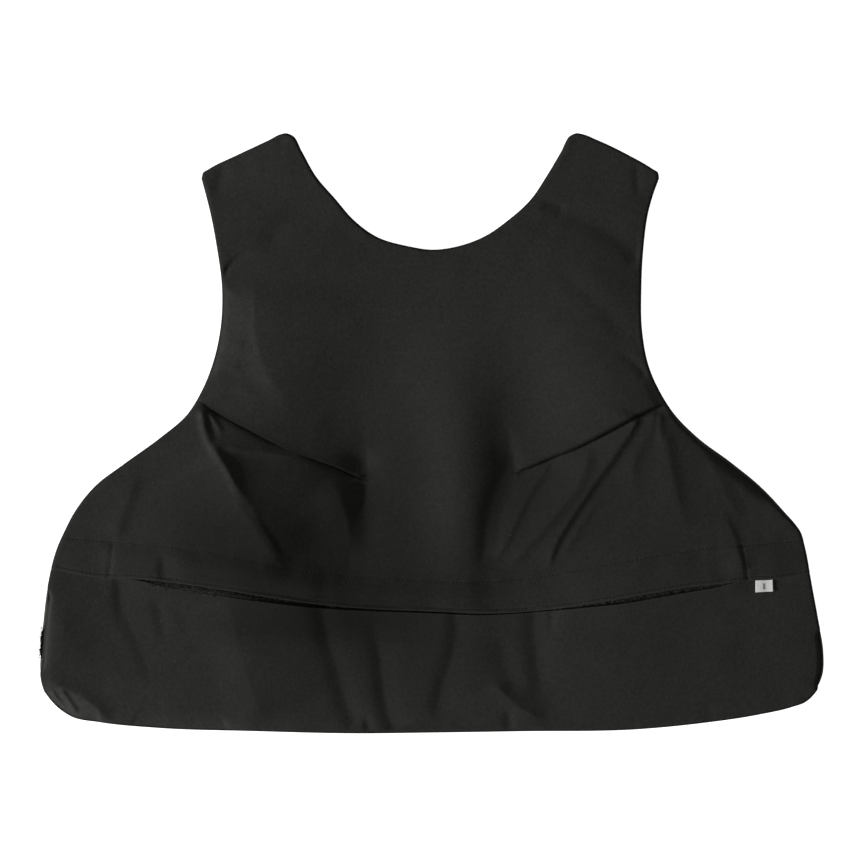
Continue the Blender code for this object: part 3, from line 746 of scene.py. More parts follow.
def gape_at(x):
    """How far the slot gapes beyond the space that two layers have anyway."""
    return np.clip(hem_at(x, 3) - GAP, 0, None)


def whole_rim():
    """The panel's outline as a closed run of points, anticlockwise from its lower left corner."""
    right = [(row[2], row[0]) for row in EDGE]
    left = [(row[1], row[0]) for row in reversed(EDGE)]
    return smooth_path([*BOTTOM, *right, NECK_LOW, *left, BOTTOM[0]], RIM_STEP)


class Relief:
    """Heights of the panel's faces over a set of places, all in millimetres."""

    def __init__(self, points):
        """Each place's distance to the rim, half the panel's thickness there, its middle height and the cloth's folds.

        The half thickness grows from the seam inwards as a superellipse, sqrt(1 - (1 - inset / reach)^square).
        """
        self.points = points
        rim = whole_rim()
        self.inset, _, self.along_rim, nearest = near_line(points, rim, FAR_FROM_RIM)
        self.along_rim = self.along_rim * run_of(rim)[-1]
        self.into = (points - nearest) / np.maximum(self.inset, 0.05)[:, None]
        on_rim = self.inset < 1.5
        if on_rim.any():
            self.into[on_rim] = inwards(points[on_rim])
        self.inner = ease(self.inset / RIM_REACH)
        self.far_in = ease(self.inset / TAPE_FADE)
        self.showing = self.beside_rim([(knots, width, EDGE_FADE) for _, knots, width, _ in SHOWING_EDGES], 0.15)
        drops = self.beside_rim([(knots, steep, EDGE_FADE) for _, knots, _, steep in SHOWING_EDGES], 0.15)
        extra = self.beside_rim([row[1:] for row in WIDE_SLOPES], 0.3)
        reach = RIM_REACH + extra
        wide = np.clip((reach - RIM_REACH) / 3, 0, 1)
        square = RIM_SQUARE + (WIDE_ROUND - RIM_SQUARE) * wide
        rounding = np.sqrt(1 - (1 - np.clip(self.inset / reach, 0, 1)) ** square)
        steepness = np.clip(drops, 0, 1)
        steep = ease((self.inset - self.showing) / STEEP_REACH) ** 0.8
        rounding = (1 - steepness) * rounding + steepness * steep
        self.half = SEAM_HALF + (FULL_THICKNESS / 2 - SEAM_HALF) * rounding
        forms = lying_forms(points)
        self.middle = bent_onto_table(forms) + FULL_THICKNESS / 2 + self.hills(LOW_EDGES)
        down = sum(on_landing(points, *row[1:]) for row in LANDINGS)
        self.on_table = bent_onto_table(forms - 2 * TOUCH_DOWN * down)
        self.cloth_folds = self.folds_of_the_cloth()

    def beside_rim(self, rows, fade):
        """Sum of bells along stretches of the rim: each row has its points in pixels, its height and its width."""
        return sum(
            fold(self.points, on_panel(knots), height, width, width, 0.0, fade, fade) for knots, height, width in rows
        )

    def hills(self, table):
        """Sum of a table's hills, whose middles are in pixels."""
        middles = on_panel([row[1:3] for row in table])
        return sum(form(self.points, *middle, *row[3:]) for middle, row in zip(middles, table))

    def folds_of_the_cloth(self):
        """Folds above and below the slot, small forms, and a slack unevenness; all of it fades out at the rim."""
        x, y = self.points.T
        above = sum(fold(self.points, on_panel(row[1]), *row[2:]) for row in UPPER_FOLDS)
        below = sum(fold(self.points, on_panel(row[1]), *row[2:]) for row in LOWER_FOLDS)
        over_slot = ease((y - hem_edge(x) + 4) / 8)
        broad, fine = SLACK
        slack = broad * uneven(x + 0.4 * y, y, 34, 26, 3) + fine * uneven(x, y - 0.5 * x, 13, 11, 5)
        near_rim = ease(self.inset / FOLD_REACH)
        folds = above * over_slot + below * (1 - over_slot) + self.hills(CLOTH_FORMS)
        return folds * near_rim + slack * self.inner

    def seam_puckers(self):
        """Small waves across the rim's seam: unevenness along the rim, dying out inwards."""
        short = uneven(self.along_rim, self.inset * 0.2, 7.5, 40, 11)
        wave = short + 0.6 * uneven(self.along_rim, self.inset, 17, 30, 12)
        return PUCKER * wave * np.exp(-self.inset / 8) * ease(self.inset / 2.5)

    def strike_face(self):
        """The strike side: on the table far in, and at the rim up to the seam, as the body side comes down to it."""
        low = self.on_table * self.inner + (self.middle - FULL_THICKNESS / 2) * (1 - self.inner)
        return np.maximum(low + FULL_THICKNESS / 2 - self.half, 0.0)

    def tape_lift(self):
        """How far the loop tape raises the cloth over it, with long soft ramps."""
        x, y = self.points.T
        start, end = SLOT_END_X
        across = ease((x - start + RAMP_ENDS) / (2 * RAMP_ENDS)) * ease((end + RAMP_ENDS - x) / (2 * RAMP_ENDS))
        below = ease((y - slot_edge(x) + RAMP_BELOW) / RAMP_BELOW)
        above = ease((stitch_row(x) - y) / RAMP_ABOVE)
        return (TAPE + GAP) * across * below * above * self.far_in

    def facing_lift(self):
        """How far the hem's facing raises the upper cover over it."""
        x, y = self.points.T
        return (TAPE + GAP) * ease((stitch_row(x) + RAMP - y) / (2 * RAMP)) * self.far_in

    def bare_face(self):
        """The pack's face with one cloth over it; where the strike cloth's edge shows, the seam lies lower."""
        drop = SHOWING_DROP * np.clip(self.showing, 0, 1) * np.exp(-self.inset / 3.0)
        return self.middle + self.half + self.cloth_folds + self.seam_puckers() - drop

    def lower_face(self):
        """The lower cover's face: raised over the tape, with its free edge standing up."""
        return self.bare_face() + self.tape_lift() + self.lip_of_the_slot()

    def lip_of_the_slot(self):
        """The lower cover's free edge stands up a little where the slot gapes."""
        x, y = self.points.T
        return LOWER_LIP * gape_at(x) * np.exp(-((slot_edge(x) - y) / 3.0))

    def upper_face(self):
        """The hem lies over tape and facing, each stitch row pulls a groove, and the band is a little uneven."""
        x, y = self.points.T
        z = self.bare_face() + self.tape_lift() + self.facing_lift()
        for row, (depth, width) in ((stitch_row(x), UPPER_GROOVE), (hem_edge(x) + EDGE_ROW_ABOVE, LOWER_GROOVE)):
            z = z - depth * np.exp(-(((y - row) / width) ** 2)) * self.inner
        depth, width = TACK_GROOVE
        for _, first, last in TACKS:
            away, _, _, _ = near_line(self.points, on_panel([first, last]), 6.0)
            z = z - depth * np.exp(-((away / width) ** 2))
        in_band = ease((y - hem_edge(x)) / 2) * ease((stitch_row(x) - y) / 3)
        z = z + BAND_WAVE * in_band * self.inner * uneven(x, y, 15, 40, 21)
        by_row = np.exp(-np.abs(y - stitch_row(x)) / 5.0)
        z = z + ROW_PUCKER * by_row * self.inner * uneven(x, y, 5.0, 60, 22)
        return z + HEM_LIP * gape_at(x) * np.exp(-((y - hem_edge(x)) / 5.0))

    def broad_painted_light_and_shade(self):
        """Painted light and shade: how much paler or darker the cloth is painted in broad places."""
        return self.hills(PAINTED_LIGHT_AND_SHADE_PLACES)

    def edge_wear_painted_light_shade(self):
        """Painted shade: darker at the rim itself, for the seam's shadow, and less so where the strike cloth's edge
        shows.
        """
        deep = 0.85 - 0.5 * np.clip(self.showing, 0, 1)
        return -deep * ease(1 - (self.inset - self.showing - 0.6) / 1.1)


def finer_at_edges(count):
    """Numbers from 0 to 1 whose steps are short at both ends and even in the middle."""
    i = np.arange(count - 1)
    step = 1 - EDGE_FINENESS * np.exp(-i / EDGE_SPREAD) - EDGE_FINENESS * np.exp(-i[::-1] / EDGE_SPREAD)
    return np.concatenate([[0.0], np.cumsum(step)]) / step.sum()


def along(points, shares):
    """Places at these shares of a line's length."""
    line = smooth_path(points, LINE_STEP)
    run = run_of(line)
    return np.stack([np.interp(shares * run[-1], run, column) for column in line.T], axis=1)


def by_x(points, shares):
    """Places on a line that runs left to right, at these shares of its width."""
    line = smooth_path(points, LINE_STEP)
    x = line[0, 0] + (line[-1, 0] - line[0, 0]) * shares
    return np.stack([np.interp(x, line[:, 0], column) for column in line.T], axis=1)


def patch(bottom, top, left, right, u, v):
    """Places between four border lines: each inner place is the mean of its two ways across, less the corners' share.

    bottom and top have one place for each u, left and right one for each v. The result is rows of v by columns of u.
    """
    u, v = u[None, :, None], v[:, None, None]
    across = (1 - v) * bottom[None] + v * top[None]
    upwards = (1 - u) * left[:, None] + u * right[:, None]
    corners = (
        (1 - u) * (1 - v) * bottom[0] + u * (1 - v) * bottom[-1] + (1 - u) * v * top[0] + u * v * top[-1]
    )
    return across + upwards - corners


def rim_side(column):
    """The rim's left or right side, column 1 or 2 of its table, from the lower corner up to the shoulder."""
    return smooth_path([(row[column], row[0]) for row in EDGE[: SHOULDER_ROW + 1]], LINE_STEP)


def side_line(column, lowest, highest):
    """The rim's left or right side between two heights, as points from the lower to the higher one."""
    side = rim_side(column)
    ys = side[:, 1]
    inside = side[(ys > lowest) & (ys < highest)]
    ends = [(np.interp(y, ys, side[:, 0]), y) for y in (lowest, highest)]
    return np.vstack([ends[0], inside, ends[1]])


def top_line():
    """The shoulders and the neck, from the left shoulder's outer corner to the right one."""
    left = [(row[1], row[0]) for row in EDGE[SHOULDER_ROW:]]
    right = [(row[2], row[0]) for row in reversed(EDGE[SHOULDER_ROW:])]
    return np.array([*left, NECK_LOW, *right])


def faces_of(index):
    """Four-cornered faces of a grid of point numbers whose rows lie one above another, seen from above."""
    corners = (index[:-1, :-1], index[:-1, 1:], index[1:, 1:], index[1:, :-1])
    return np.stack([corner.ravel() for corner in corners], axis=1)


def numbered(rows, columns, first=0):
    """Point numbers of a grid, row after row."""
    return first + np.arange(rows * columns).reshape(rows, columns)


def border_of(index):
    """A grid's outermost point numbers, anticlockwise from its lower left corner and back to it."""
    return np.concatenate([index[0], index[1:, -1], index[-1, -2::-1], index[-2:0:-1, 0], index[:1, 0]])


def slab(name, flat, high, low, shape, material, marks=None):
    """A closed slab: the same places at two heights, with a wall round the border."""
    upper = numbered(*shape)
    lower = upper + upper.size
    top, foot = border_of(upper), border_of(lower)
    wall = np.stack([top[:-1], foot[:-1], foot[1:], top[1:]], axis=1)
    faces = np.vstack([faces_of(upper), faces_of(lower)[:, ::-1], wall])
    points = np.vstack([np.column_stack([flat, high]), np.column_stack([flat, low])])
    return build(name, points, faces, material, marks=marks)


def build(name, points, faces, material, marks=None):
    """A mesh object from points in millimetres, with named numbers at its points."""
    mesh = bpy.data.meshes.new(name)
    mesh.from_pydata(np.asarray(points) * MM, [], np.asarray(faces).tolist())
    for label, values in (marks or {}).items():
        layer = mesh.attributes.new(label, "FLOAT", "POINT")
        layer.data.foreach_set("value", np.asarray(values, np.float32))
    mesh.materials.append(material)
    mesh.polygons.foreach_set("use_smooth", np.ones(len(mesh.polygons), bool))
    mesh.update()
    obj = bpy.data.objects.new(name, mesh)
    bpy.context.scene.collection.objects.link(obj)
    return obj


def rim_normals():
    """The rim's points and, at each, the direction into the panel."""
    rim = whole_rim()[:-1]
    way = np.roll(rim, -1, axis=0) - np.roll(rim, 1, axis=0)
    way /= np.linalg.norm(way, axis=1, keepdims=True)
    return rim, np.stack([-way[:, 1], way[:, 0]], axis=1)


def inwards(points):
    """Direction into the panel from the nearest point of the rim."""
    rim, normals = rim_normals()
    apart = (rim**2).sum(axis=1) - 2 * points @ rim.T
    return normals[apart.argmin(axis=1)]


def rolled(edge, into, steps):
    """Rows of a cloth's edge turned under: each step of the table moves the edge inwards and up or down."""
    rows = [np.column_stack([edge[:, :2] + into * inward, edge[:, 2] + rise]) for inward, rise in steps]
    return np.vstack(rows)


def strip_faces(first_row, start, rows):
    """Faces between an edge's points and the rows that follow it; the edge runs anticlockwise seen from above."""
    return faces_of(np.vstack([first_row, numbered(rows, len(first_row), start)]))[:, ::-1]


def stretches(rows):
    """Shares of the way from stretches of even steps: each row is its start, its end and its count of steps."""
    return np.concatenate([[0.0], *(np.linspace(low, high, count + 1)[1:] for low, high, count in rows)])


def upper_cloth(material):
    """Body-side cloth above the slot: one sheet from its hem's fold, over both dart lips, to shoulders and neck.

    Two patches meet at the dart line. Along it the rows of LIP_TURN carry the cloth over the lip, whose height eases
    out above it as a bell, and whose crease eases out below it as exp(-distance).
    """
    u = finer_at_edges(UPPER_COLUMNS)
    dart = by_x(DART_LINE, u)
    lip, crease = np.clip(dart[:, 2:].T, 0, None) * ease(np.minimum(u, 1 - u) / 0.03)
    hem_x = np.interp(u, [0, 1], [x_at_rim(1, hem_edge), x_at_rim(2, hem_edge)])
    hem = np.stack([hem_x, hem_edge(hem_x)], axis=1)
    v_low, v_high = stretches(BELOW_DART_ROWS), stretches(ABOVE_DART_ROWS)
    top = along(top_line(), top_shares(u))
    sides = {}
    for column, end in ((1, 0), (2, -1)):
        low, dart_y = hem[end, 1], dart[end, 1]
        sides[column] = (
            along(side_line(column, low, dart_y), v_low),
            along(side_line(column, dart_y, EDGE[SHOULDER_ROW][0]), v_high),
        )
    below = patch(hem, dart[:, :2], sides[1][0], sides[2][0], u, v_low)
    above = patch(dart[:, :2], top, sides[1][1], sides[2][1], u, v_high)
    way = np.gradient(dart[:, :2], axis=0)
    way /= np.linalg.norm(way, axis=1, keepdims=True)
    up = np.stack([-way[:, 1], way[:, 0]], axis=1)
    lip_places = np.broadcast_to(dart[:, :2], (LIP_ROWS, len(u), 2))
    places = np.concatenate([below, lip_places, above[1:]], axis=0)
    relief = Relief(places.reshape(-1, 2))
    z = relief.upper_face().reshape(places.shape[:2])
    rows_below, first_above = len(below), len(below) + LIP_ROWS
    z[:rows_below] -= crease * np.exp(-np.linalg.norm(below - dart[:, :2], axis=2) / CREASE_REACH)
    z[first_above:] += lip * np.exp(-((np.linalg.norm(above[1:] - dart[:, :2], axis=2) / LIP_REACH) ** 2))
    grid = shown_at_rim(places, z, relief)
    grid[rows_below:first_above] = lip_rows_of(grid[rows_below - 1], up, lip, crease)
    # Painted shade at the rim, and painted shade in the dart's lip rows, darkest where the lip stands highest.
    tone = relief.edge_wear_painted_light_shade().reshape(grid.shape[:2])
    tone[rows_below:first_above] = LIP_PAINTED_SHADE * ease(lip / 0.6)
    return close_cloth("upper_cloth", grid, tone.ravel(), relief, material, hem_at_bottom=True)


def shown_at_rim(places, z, relief):
    """A cloth's grid of points, drawn inwards where the strike cloth's edge shows outside it."""
    shift = relief.into * relief.showing[:, None]
    return np.dstack([places + shift.reshape(places.shape), z])


def top_shares(u):
    """Shares of the top line's length for the columns: more of the columns go to the neck than to the shoulders."""
    line = smooth_path(top_line(), LINE_STEP)
    run = run_of(line)
    x = np.interp(u, [0, 0.15, 0.5, 0.85, 1], [line[0, 0], -96.6, NECK_LOW[0], 97.0, line[-1, 0]])
    return np.interp(x, line[:, 0], run) / run[-1]


def x_at_rim(column, line):
    """x of the rim's left or right side where a line across the panel, y as a function of x, meets it."""
    side = rim_side(column)
    return side[np.argmin(np.abs(side[:, 1] - line(side[:, 0]))), 0]


def lip_rows_of(line, up, lip, crease):
    """The dart's overlap: the cloth runs under the lip, turns back and comes out over its rounded edge."""
    rows = []
    for number, (run, rise) in enumerate(LIP_TURN, 1):
        shift = up * (lip * run + 0.05 * number * ease(1 - lip / 0.2))[:, None]
        rows.append(np.column_stack([line[:, :2] + shift, line[:, 2] + (lip + crease) * rise]))
    return np.stack(rows)


def close_cloth(name, grid, tone, relief, material, hem_at_bottom):
    """Turns a grid's edges under: at the seam along three sides, and as a hem along the free side."""
    rows, columns = grid.shape[:2]
    points = grid.reshape(-1, 3)
    index = numbered(rows, columns)
    if hem_at_bottom:
        free, loop = index[0], np.concatenate([index[:, -1], index[-1, -2::-1], index[-2::-1, 0]])
        down, inside, line = -1.0, index[list(HEM_UNDER_ROWS)], hem_edge
    else:
        free, loop = index[-1], np.concatenate([index[::-1, 0], index[0, 1:], index[1:, -1]])
        down, inside, line = 1.0, index[[-1 - row for row in HEM_UNDER_ROWS]], slot_edge
    turned = rolled(points[loop], relief.into[loop], SEAM_TURN)
    edge = points[free]
    keep = ease(relief.inset[free] / 3.0)
    hem_rows = [
        edge + np.column_stack([np.zeros(len(edge)), down * run * keep, rise * (0.35 + 0.65 * keep)])
        for run, rise in HEM_TURN
    ]
    hem_rows += [points[row] + np.column_stack([np.zeros((len(row), 2)), HEM_TURN[-1][1] * keep]) for row in inside]
    hem_faces = strip_faces(free, len(points) + len(turned), len(hem_rows))
    faces = [
        faces_of(index),
        strip_faces(loop, len(points), len(SEAM_TURN)),
        hem_faces if hem_at_bottom else hem_faces[:, ::-1],
    ]
    pressed = np.exp(-((np.abs(points[:, 1] - line(points[:, 0])) / PRESSED_WIDTH) ** 2)) * ease(relief.inset / 2)
    # Pressed edge worn paler, painted shade on the edge turned under at the seam, folded edge worn paler, and painted
    # shade on the hem's underside.
    tone = [
        np.where(pressed > 0.05, pressed, tone),
        np.full(len(turned), TURNED_PAINTED_SHADE),
        np.full(columns, FOLDED_TONE),
        np.full((len(hem_rows) - 1) * columns, UNDER_HEM_PAINTED_SHADE),
    ]
    # Broad painted light and shade, carried onto the turned rows.
    dye = relief.broad_painted_light_and_shade()
    dye = [dye, np.tile(dye[loop], len(SEAM_TURN)), np.tile(dye[free], len(hem_rows))]
    marks = {"edge_wear_painted_light_shade": np.concatenate(tone), "broad_painted_light_and_shade": np.concatenate(dye)}
    return build(name, np.vstack([points, turned, *hem_rows]), np.vstack(faces), material, marks=marks)


def lower_cloth(material):
    """Body-side cloth under the slot: one sheet from its turned upper edge down to the lower rim."""
    u, v = finer_at_edges(LOWER_COLUMNS), stretches(LOWER_ROWS)
    slot_x = np.interp(u, [0, 1], [x_at_rim(1, slot_edge), x_at_rim(2, slot_edge)])
    top = np.stack([slot_x, slot_edge(slot_x)], axis=1)
    lowest = EDGE[0][0]
    bottom = along([(EDGE[0][1], lowest), *BOTTOM, (EDGE[0][2], lowest)], u)
    left = along(side_line(1, lowest, top[0, 1]), v)
    right = along(side_line(2, lowest, top[-1, 1]), v)
    places = patch(bottom, top, left, right, u, v)
    relief = Relief(places.reshape(-1, 2))
    grid = shown_at_rim(places, relief.lower_face().reshape(places.shape[:2]), relief)
    return close_cloth("lower_cloth", grid, relief.edge_wear_painted_light_shade(), relief, material, hem_at_bottom=False)


def panel_patch(columns, rows):
    """Places over the whole outline, rows from the lower rim to shoulders and neck."""
    u, v = finer_at_edges(columns), finer_at_edges(rows)
    bottom_line = [(EDGE[0][1], EDGE[0][0]), *BOTTOM, (EDGE[0][2], EDGE[0][0])]
    bottom = along(bottom_line, u)
    top = along(top_line(), top_shares(u))
    high = EDGE[SHOULDER_ROW][0]
    left = along(side_line(1, EDGE[0][0], high), v)
    right = along(side_line(2, EDGE[0][0], high), v)
    return patch(bottom, top, left, right, u, v)


def strike_cloth(material):
    """Cloth of the strike side, drawn round the pack to the seam, with its own turned edge."""
    places = panel_patch(*STRIKE_GRID)
    flat = places.reshape(-1, 2)
    relief = Relief(flat)
    x, y = flat.T
    z = relief.strike_face() + 0.5 * relief.seam_puckers()
    z = z + STRIKE_WAVE * relief.inner * uneven(x, y, 26, 19, 31)
    z = np.maximum(np.where(relief.on_table < 0.05, relief.strike_face(), z), 0.0)
    curl = np.exp(-relief.inset / 1.2) * np.clip(relief.showing, 0, 1)
    points = np.column_stack([flat, z + SHOWING_CURL * curl])
    index = numbered(*places.shape[:2])
    loop = border_of(index)
    turned = rolled(points[loop], relief.into[loop], [(inward, -rise) for inward, rise in SEAM_TURN])
    faces = [faces_of(index)[:, ::-1], strip_faces(loop, len(points), len(SEAM_TURN))[:, ::-1]]
    # Painted light on the turned edge's rows where they show outside the seam, painted shade where they lie in the
    # seam.
    shown = np.clip(relief.showing[loop], 0, 1)
    turned_painted_light_shade = [tone * shown + STRIKE_SEAM_PAINTED_SHADE * (1 - shown) for tone in STRIKE_EDGE_PAINTED_LIGHT]
    tone = np.concatenate([np.full(len(points), STRIKE_TONE), *turned_painted_light_shade])
    return build("strike_cloth", np.vstack([points, turned]), np.vstack(faces), material, marks={"edge_wear_painted_light_shade": tone})


def soft_pack(material):
    """The sealed pack inside the covers: two faces over the same places, joined at its edge.

    The places are the panel's, drawn PACK_INSET nearer to PACK_MIDDLE.
    """
    places = panel_patch(*PACK_GRID)
    flat = places.reshape(-1, 2)
    away = np.linalg.norm(flat - PACK_MIDDLE, axis=1)
    flat = PACK_MIDDLE + (flat - PACK_MIDDLE) * (1 - PACK_INSET / np.maximum(away, 60))[:, None]
    relief = Relief(flat)
    low = relief.middle - relief.half + CLOTH + PACK_OVER_STRIKE
    high = relief.middle + relief.half + relief.cloth_folds - CLOTH - PACK_UNDER_BODY
    return slab("soft_pack", flat, np.maximum(high, low + LEAST_PACK), low, places.shape[:2], material)


def tape_places(rows):
    """Places on the loop tape, from under the lower cover to under the hem."""
    x = np.linspace(SLOT_END_X[0] + 0.4, SLOT_END_X[1] - 0.4, 620)
    low = slot_edge(x) - TAPE_BELOW_SLOT + 0.5
    high = hem_edge(x) + TAPE_ABOVE_EDGE - 0.5
    t = np.linspace(0, 1, rows)[:, None]
    return np.dstack([np.broadcast_to(x, (rows, len(x))), low + (high - low) * t])


def tape_height(points):
    """The tape lies on the pack, under both covers; in the slot it swells up at the left and sinks at the right."""
    relief = Relief(points)
    x, y = points.T
    in_gap = ease((y - slot_edge(x) + 0.3) / 0.8) * ease((hem_edge(x) - y - 0.2) / 3.6)
    swell = TAPE_SWELL * in_gap * ease((hem_at(x, 3) - 1) / 2) * ease((-x - 100) / 40)
    sunk = TAPE_SUNK * in_gap * ease((x - 40) / 40)
    return relief.middle + relief.half + relief.cloth_folds - CLOTH + TAPE - GAP + swell - sunk


def loop_tape(material):
    """Fuzzy tape across the slot: a band whose pile stands up unevenly."""
    places = tape_places(44)
    flat = places.reshape(-1, 2)
    x, y = flat.T
    coarse, fine = PILE_ROUGH
    z = tape_height(flat) + coarse * uneven(x, y, 1.0, 0.8, 41) + fine * uneven(x, y, 2.3, 1.9, 42)
    return build("loop_tape_band", np.column_stack([flat, z]), faces_of(numbered(*places.shape[:2])), material)


def tube_faces(count, rings, sides):
    """Faces of many like tubes, one after another, whose rings of points follow each other."""
    ring = np.arange(rings - 1)[:, None] * sides
    here = np.arange(sides)[None]
    following = (here + 1) % sides
    quad = np.stack([ring + here, ring + following, ring + following + sides, ring + here + sides], axis=-1)
    start = (np.arange(count) * rings * sides)[:, None, None]
    return (quad.reshape(-1, 4)[None] + start).reshape(-1, 4)


def pile_loops(name, roots, material, reach, seed):
    """Little arcs of yarn: each is a bent three-sided thread over its root, with its own size, lean and turn."""
    rng = np.random.default_rng(seed)
    count = len(roots)
    size = rng.uniform(0.6, 1.25, count) * reach
    turn = rng.uniform(0, 2 * np.pi, count)
    lean = rng.uniform(-0.6, 0.6, count)
    a = np.linspace(0, np.pi, YARN_RINGS)
    way_out = np.stack([np.cos(a), np.zeros_like(a), np.sin(a)], axis=1)[:, None, :]
    ring = np.linspace(0, 2 * np.pi, YARN_SIDES, endpoint=False)[None, :, None]
    around = YARN_RADIUS * (np.cos(ring) * way_out + np.sin(ring) * np.array([0, 1.0, 0]))
    arc = way_out * size[:, None, None, None] + around[None]
    arc[..., 1] += arc[..., 2] * lean[:, None, None]
    c, s = np.cos(turn)[:, None, None], np.sin(turn)[:, None, None]
    placed = np.stack([arc[..., 0] * c - arc[..., 1] * s, arc[..., 0] * s + arc[..., 1] * c, arc[..., 2]], axis=-1)
    placed += roots[:, None, None, :]
    return build(name, placed.reshape(-1, 3), tube_faces(count, YARN_RINGS, YARN_SIDES), material)


def loops_in_the_slot(material):
    """Loops of pile along the gaping stretches, thickest at the left, where some lie over the lower cover's edge."""
    rng = np.random.default_rng(8)
    low, high = CROWD_ENDS
    left = rng.normal(*CROWD_X, CROWD_DRAWN)
    rest = rng.uniform(SLOT_END_X[0] + 14, SLOT_END_X[1] - 14, SCATTERED)
    x = np.concatenate([left[(left > low) & (left < high)][:CROWD_KEPT], rest])
    gape = hem_at(x, 3)
    x, gape = x[gape > PILE_LEAST_GAPE], gape[gape > PILE_LEAST_GAPE]
    out = 1.6 * ease((-x - 128) / 30)
    y = slot_edge(x) - out + rng.uniform(0, 1, len(x)) * (gape + out - 0.4)
    roots = np.stack([x, y], axis=1)
    over_cover = ease((slot_edge(x) - y) / 0.4 + 0.5)
    base = tape_height(roots) * (1 - over_cover) + (Relief(roots).lower_face() + 0.1) * over_cover
    return pile_loops("pile_in_the_slot", np.column_stack([roots, base]), material, SLOT_LOOP, 9)


def stitch_places():
    """Middle and heading of every stitch: the hem's two rows and the tacks at the slot's ends."""
    upper_x, lower_x = (np.linspace(*ends, 500) for ends in (UPPER_ROW_ENDS, LOWER_ROW_ENDS))
    upper = np.stack([upper_x, stitch_row(upper_x)], axis=1)
    lower = np.stack([lower_x, hem_edge(lower_x) + EDGE_ROW_ABOVE], axis=1)
    middles, headings = [], []
    for line in (upper, lower, *(on_panel([first, last]) for _, first, last in TACKS)):
        run = run_of(line)
        at = np.arange(STITCH_PITCH / 2, run[-1], STITCH_PITCH)
        behind, place, ahead = (
            np.stack([np.interp(at + step, run, line[:, k]) for k in (0, 1)], axis=1) for step in (-0.5, 0, 0.5)
        )
        middles.append(place)
        headings.append(ahead - behind)
    middles, headings = np.vstack(middles), np.vstack(headings)
    return middles, headings / np.linalg.norm(headings, axis=1, keepdims=True)


def stitches(material):
    """Short rounded threads, each a spindle of rings that dips into the cloth at both ends as the fourth power."""
    middles, headings = stitch_places()
    rng = np.random.default_rng(17)
    middles = middles + rng.normal(0, 0.06, middles.shape)
    z = Relief(middles).upper_face() + STITCH_OVER_CLOTH
    t = np.linspace(-1, 1, STITCH_RINGS)
    radius = STITCH_RADIUS * np.sqrt(np.clip(1 - (0.96 * t) ** 4, 0, 1))
    ring = np.linspace(0, 2 * np.pi, STITCH_SIDES, endpoint=False)
    length = STITCH_LENGTH / 2 * rng.uniform(0.92, 1.06, len(middles))
    x = t[None, :, None] * length[:, None, None] + 0 * ring
    y = radius[None, :, None] * np.cos(ring) * 1.1 + 0 * x
    up = radius[None, :, None] * np.sin(ring) - STITCH_DIP * t[None, :, None] ** 4 + 0 * x
    hx, hy = headings[:, 0, None, None], headings[:, 1, None, None]
    mx, my = middles[:, 0, None, None], middles[:, 1, None, None]
    placed = np.stack([mx + x * hx - y * hy, my + x * hy + y * hx, z[:, None, None] + up], axis=-1)
    faces = tube_faces(len(middles), STITCH_RINGS, STITCH_SIDES)[:, ::-1]
    return build("hem_stitches", placed.reshape(-1, 3), faces, material)


def size_label(material):
    """A small woven ribbon hanging out from under the hem: a thin closed slab that follows the cloth.

    It leans a little, and lifts off the cloth towards its lower end as a parabola, with a slight wave across.
    """
    left, right, height, below = LABEL
    s, t = np.meshgrid(np.linspace(0, 1, 40), np.linspace(0, 1, 26))
    x = left + (right - left) * s + 0.35 * (1 - t) * (s - 0.2)
    y = LABEL_TOP + 1.2 * (s - 0.5) - (height + below + 0.6 * (s - 0.5)) * (1 - t)
    shape, s, t = x.shape, s.ravel(), t.ravel()
    flat = np.stack([x.ravel(), y.ravel()], axis=1)
    face = Relief(flat).lower_face() + (0.55 + 0.35 * (1 - t) ** 2 + 0.12 * np.sin(2.2 * np.pi * s))
    marks = {"across": np.tile(s, 2), "upward": np.tile(t, 2)}
    return slab("woven_size_label", flat, face + 0.2, face - 0.15, shape, material, marks=marks)


def edge_tape(material):
    """The end of a fuzzy tape caught in the left side's seam: a rough narrow band just outside the rim."""
    t, s = np.meshgrid(np.linspace(0, 1, 60), np.linspace(0, 1, 8))
    low, length = SIDE_TAPE
    y = low + length * t
    side = rim_side(1)
    width = (1.2 + 0.4 * uneven(y, y, 1.7, 5, 51)) * ease(t / 0.1) * ease((1 - t) / 0.1)
    x = np.interp(y, side[:, 1], side[:, 0]) + 0.6 - s * width
    z = (4.6 + 0.5 * uneven(x, y, 0.8, 1.1, 52)).ravel()
    return slab("side_tape_end", np.stack([x.ravel(), y.ravel()], axis=1), z, z - 1.1, x.shape, material)


def side_pile(material):
    """Loose loops of yarn that stand out of the left side's seam."""
    rng = np.random.default_rng(61)
    y = rng.uniform(*SIDE_PILE_Y, SIDE_LOOPS)
    side = rim_side(1)
    x = np.interp(y, side[:, 1], side[:, 0]) - rng.uniform(0.2, 1.4, len(y))
    roots = np.stack([x, y, rng.uniform(3.6, 5.0, len(y))], axis=1)
    return pile_loops("side_pile", roots, material, SIDE_LOOP, 62)


def socket(group, name, kind, inward, default=None):
    """A named input or output of a node group."""
    made = group.interface.new_socket(name=name, in_out="INPUT" if inward else "OUTPUT", socket_type=kind)
    if default is not None:
        made.default_value = default
    return made


def node(tree, kind, **settings):
    """A node of this kind, with its settings."""
    made = tree.nodes.new(kind)
    for key, value in settings.items():
        setattr(made, key, value)
    return made


def noise(tree, place, scale, detail=2.0, roughness=0.5):
    """The value of a Noise texture at a place."""
    made = node(tree, "ShaderNodeTexNoise")
    for key, number in (("Scale", scale), ("Detail", detail), ("Roughness", roughness)):
        made.inputs[key].default_value = number
    tree.links.new(place, made.inputs["Vector"])
    return made.outputs["Fac"]


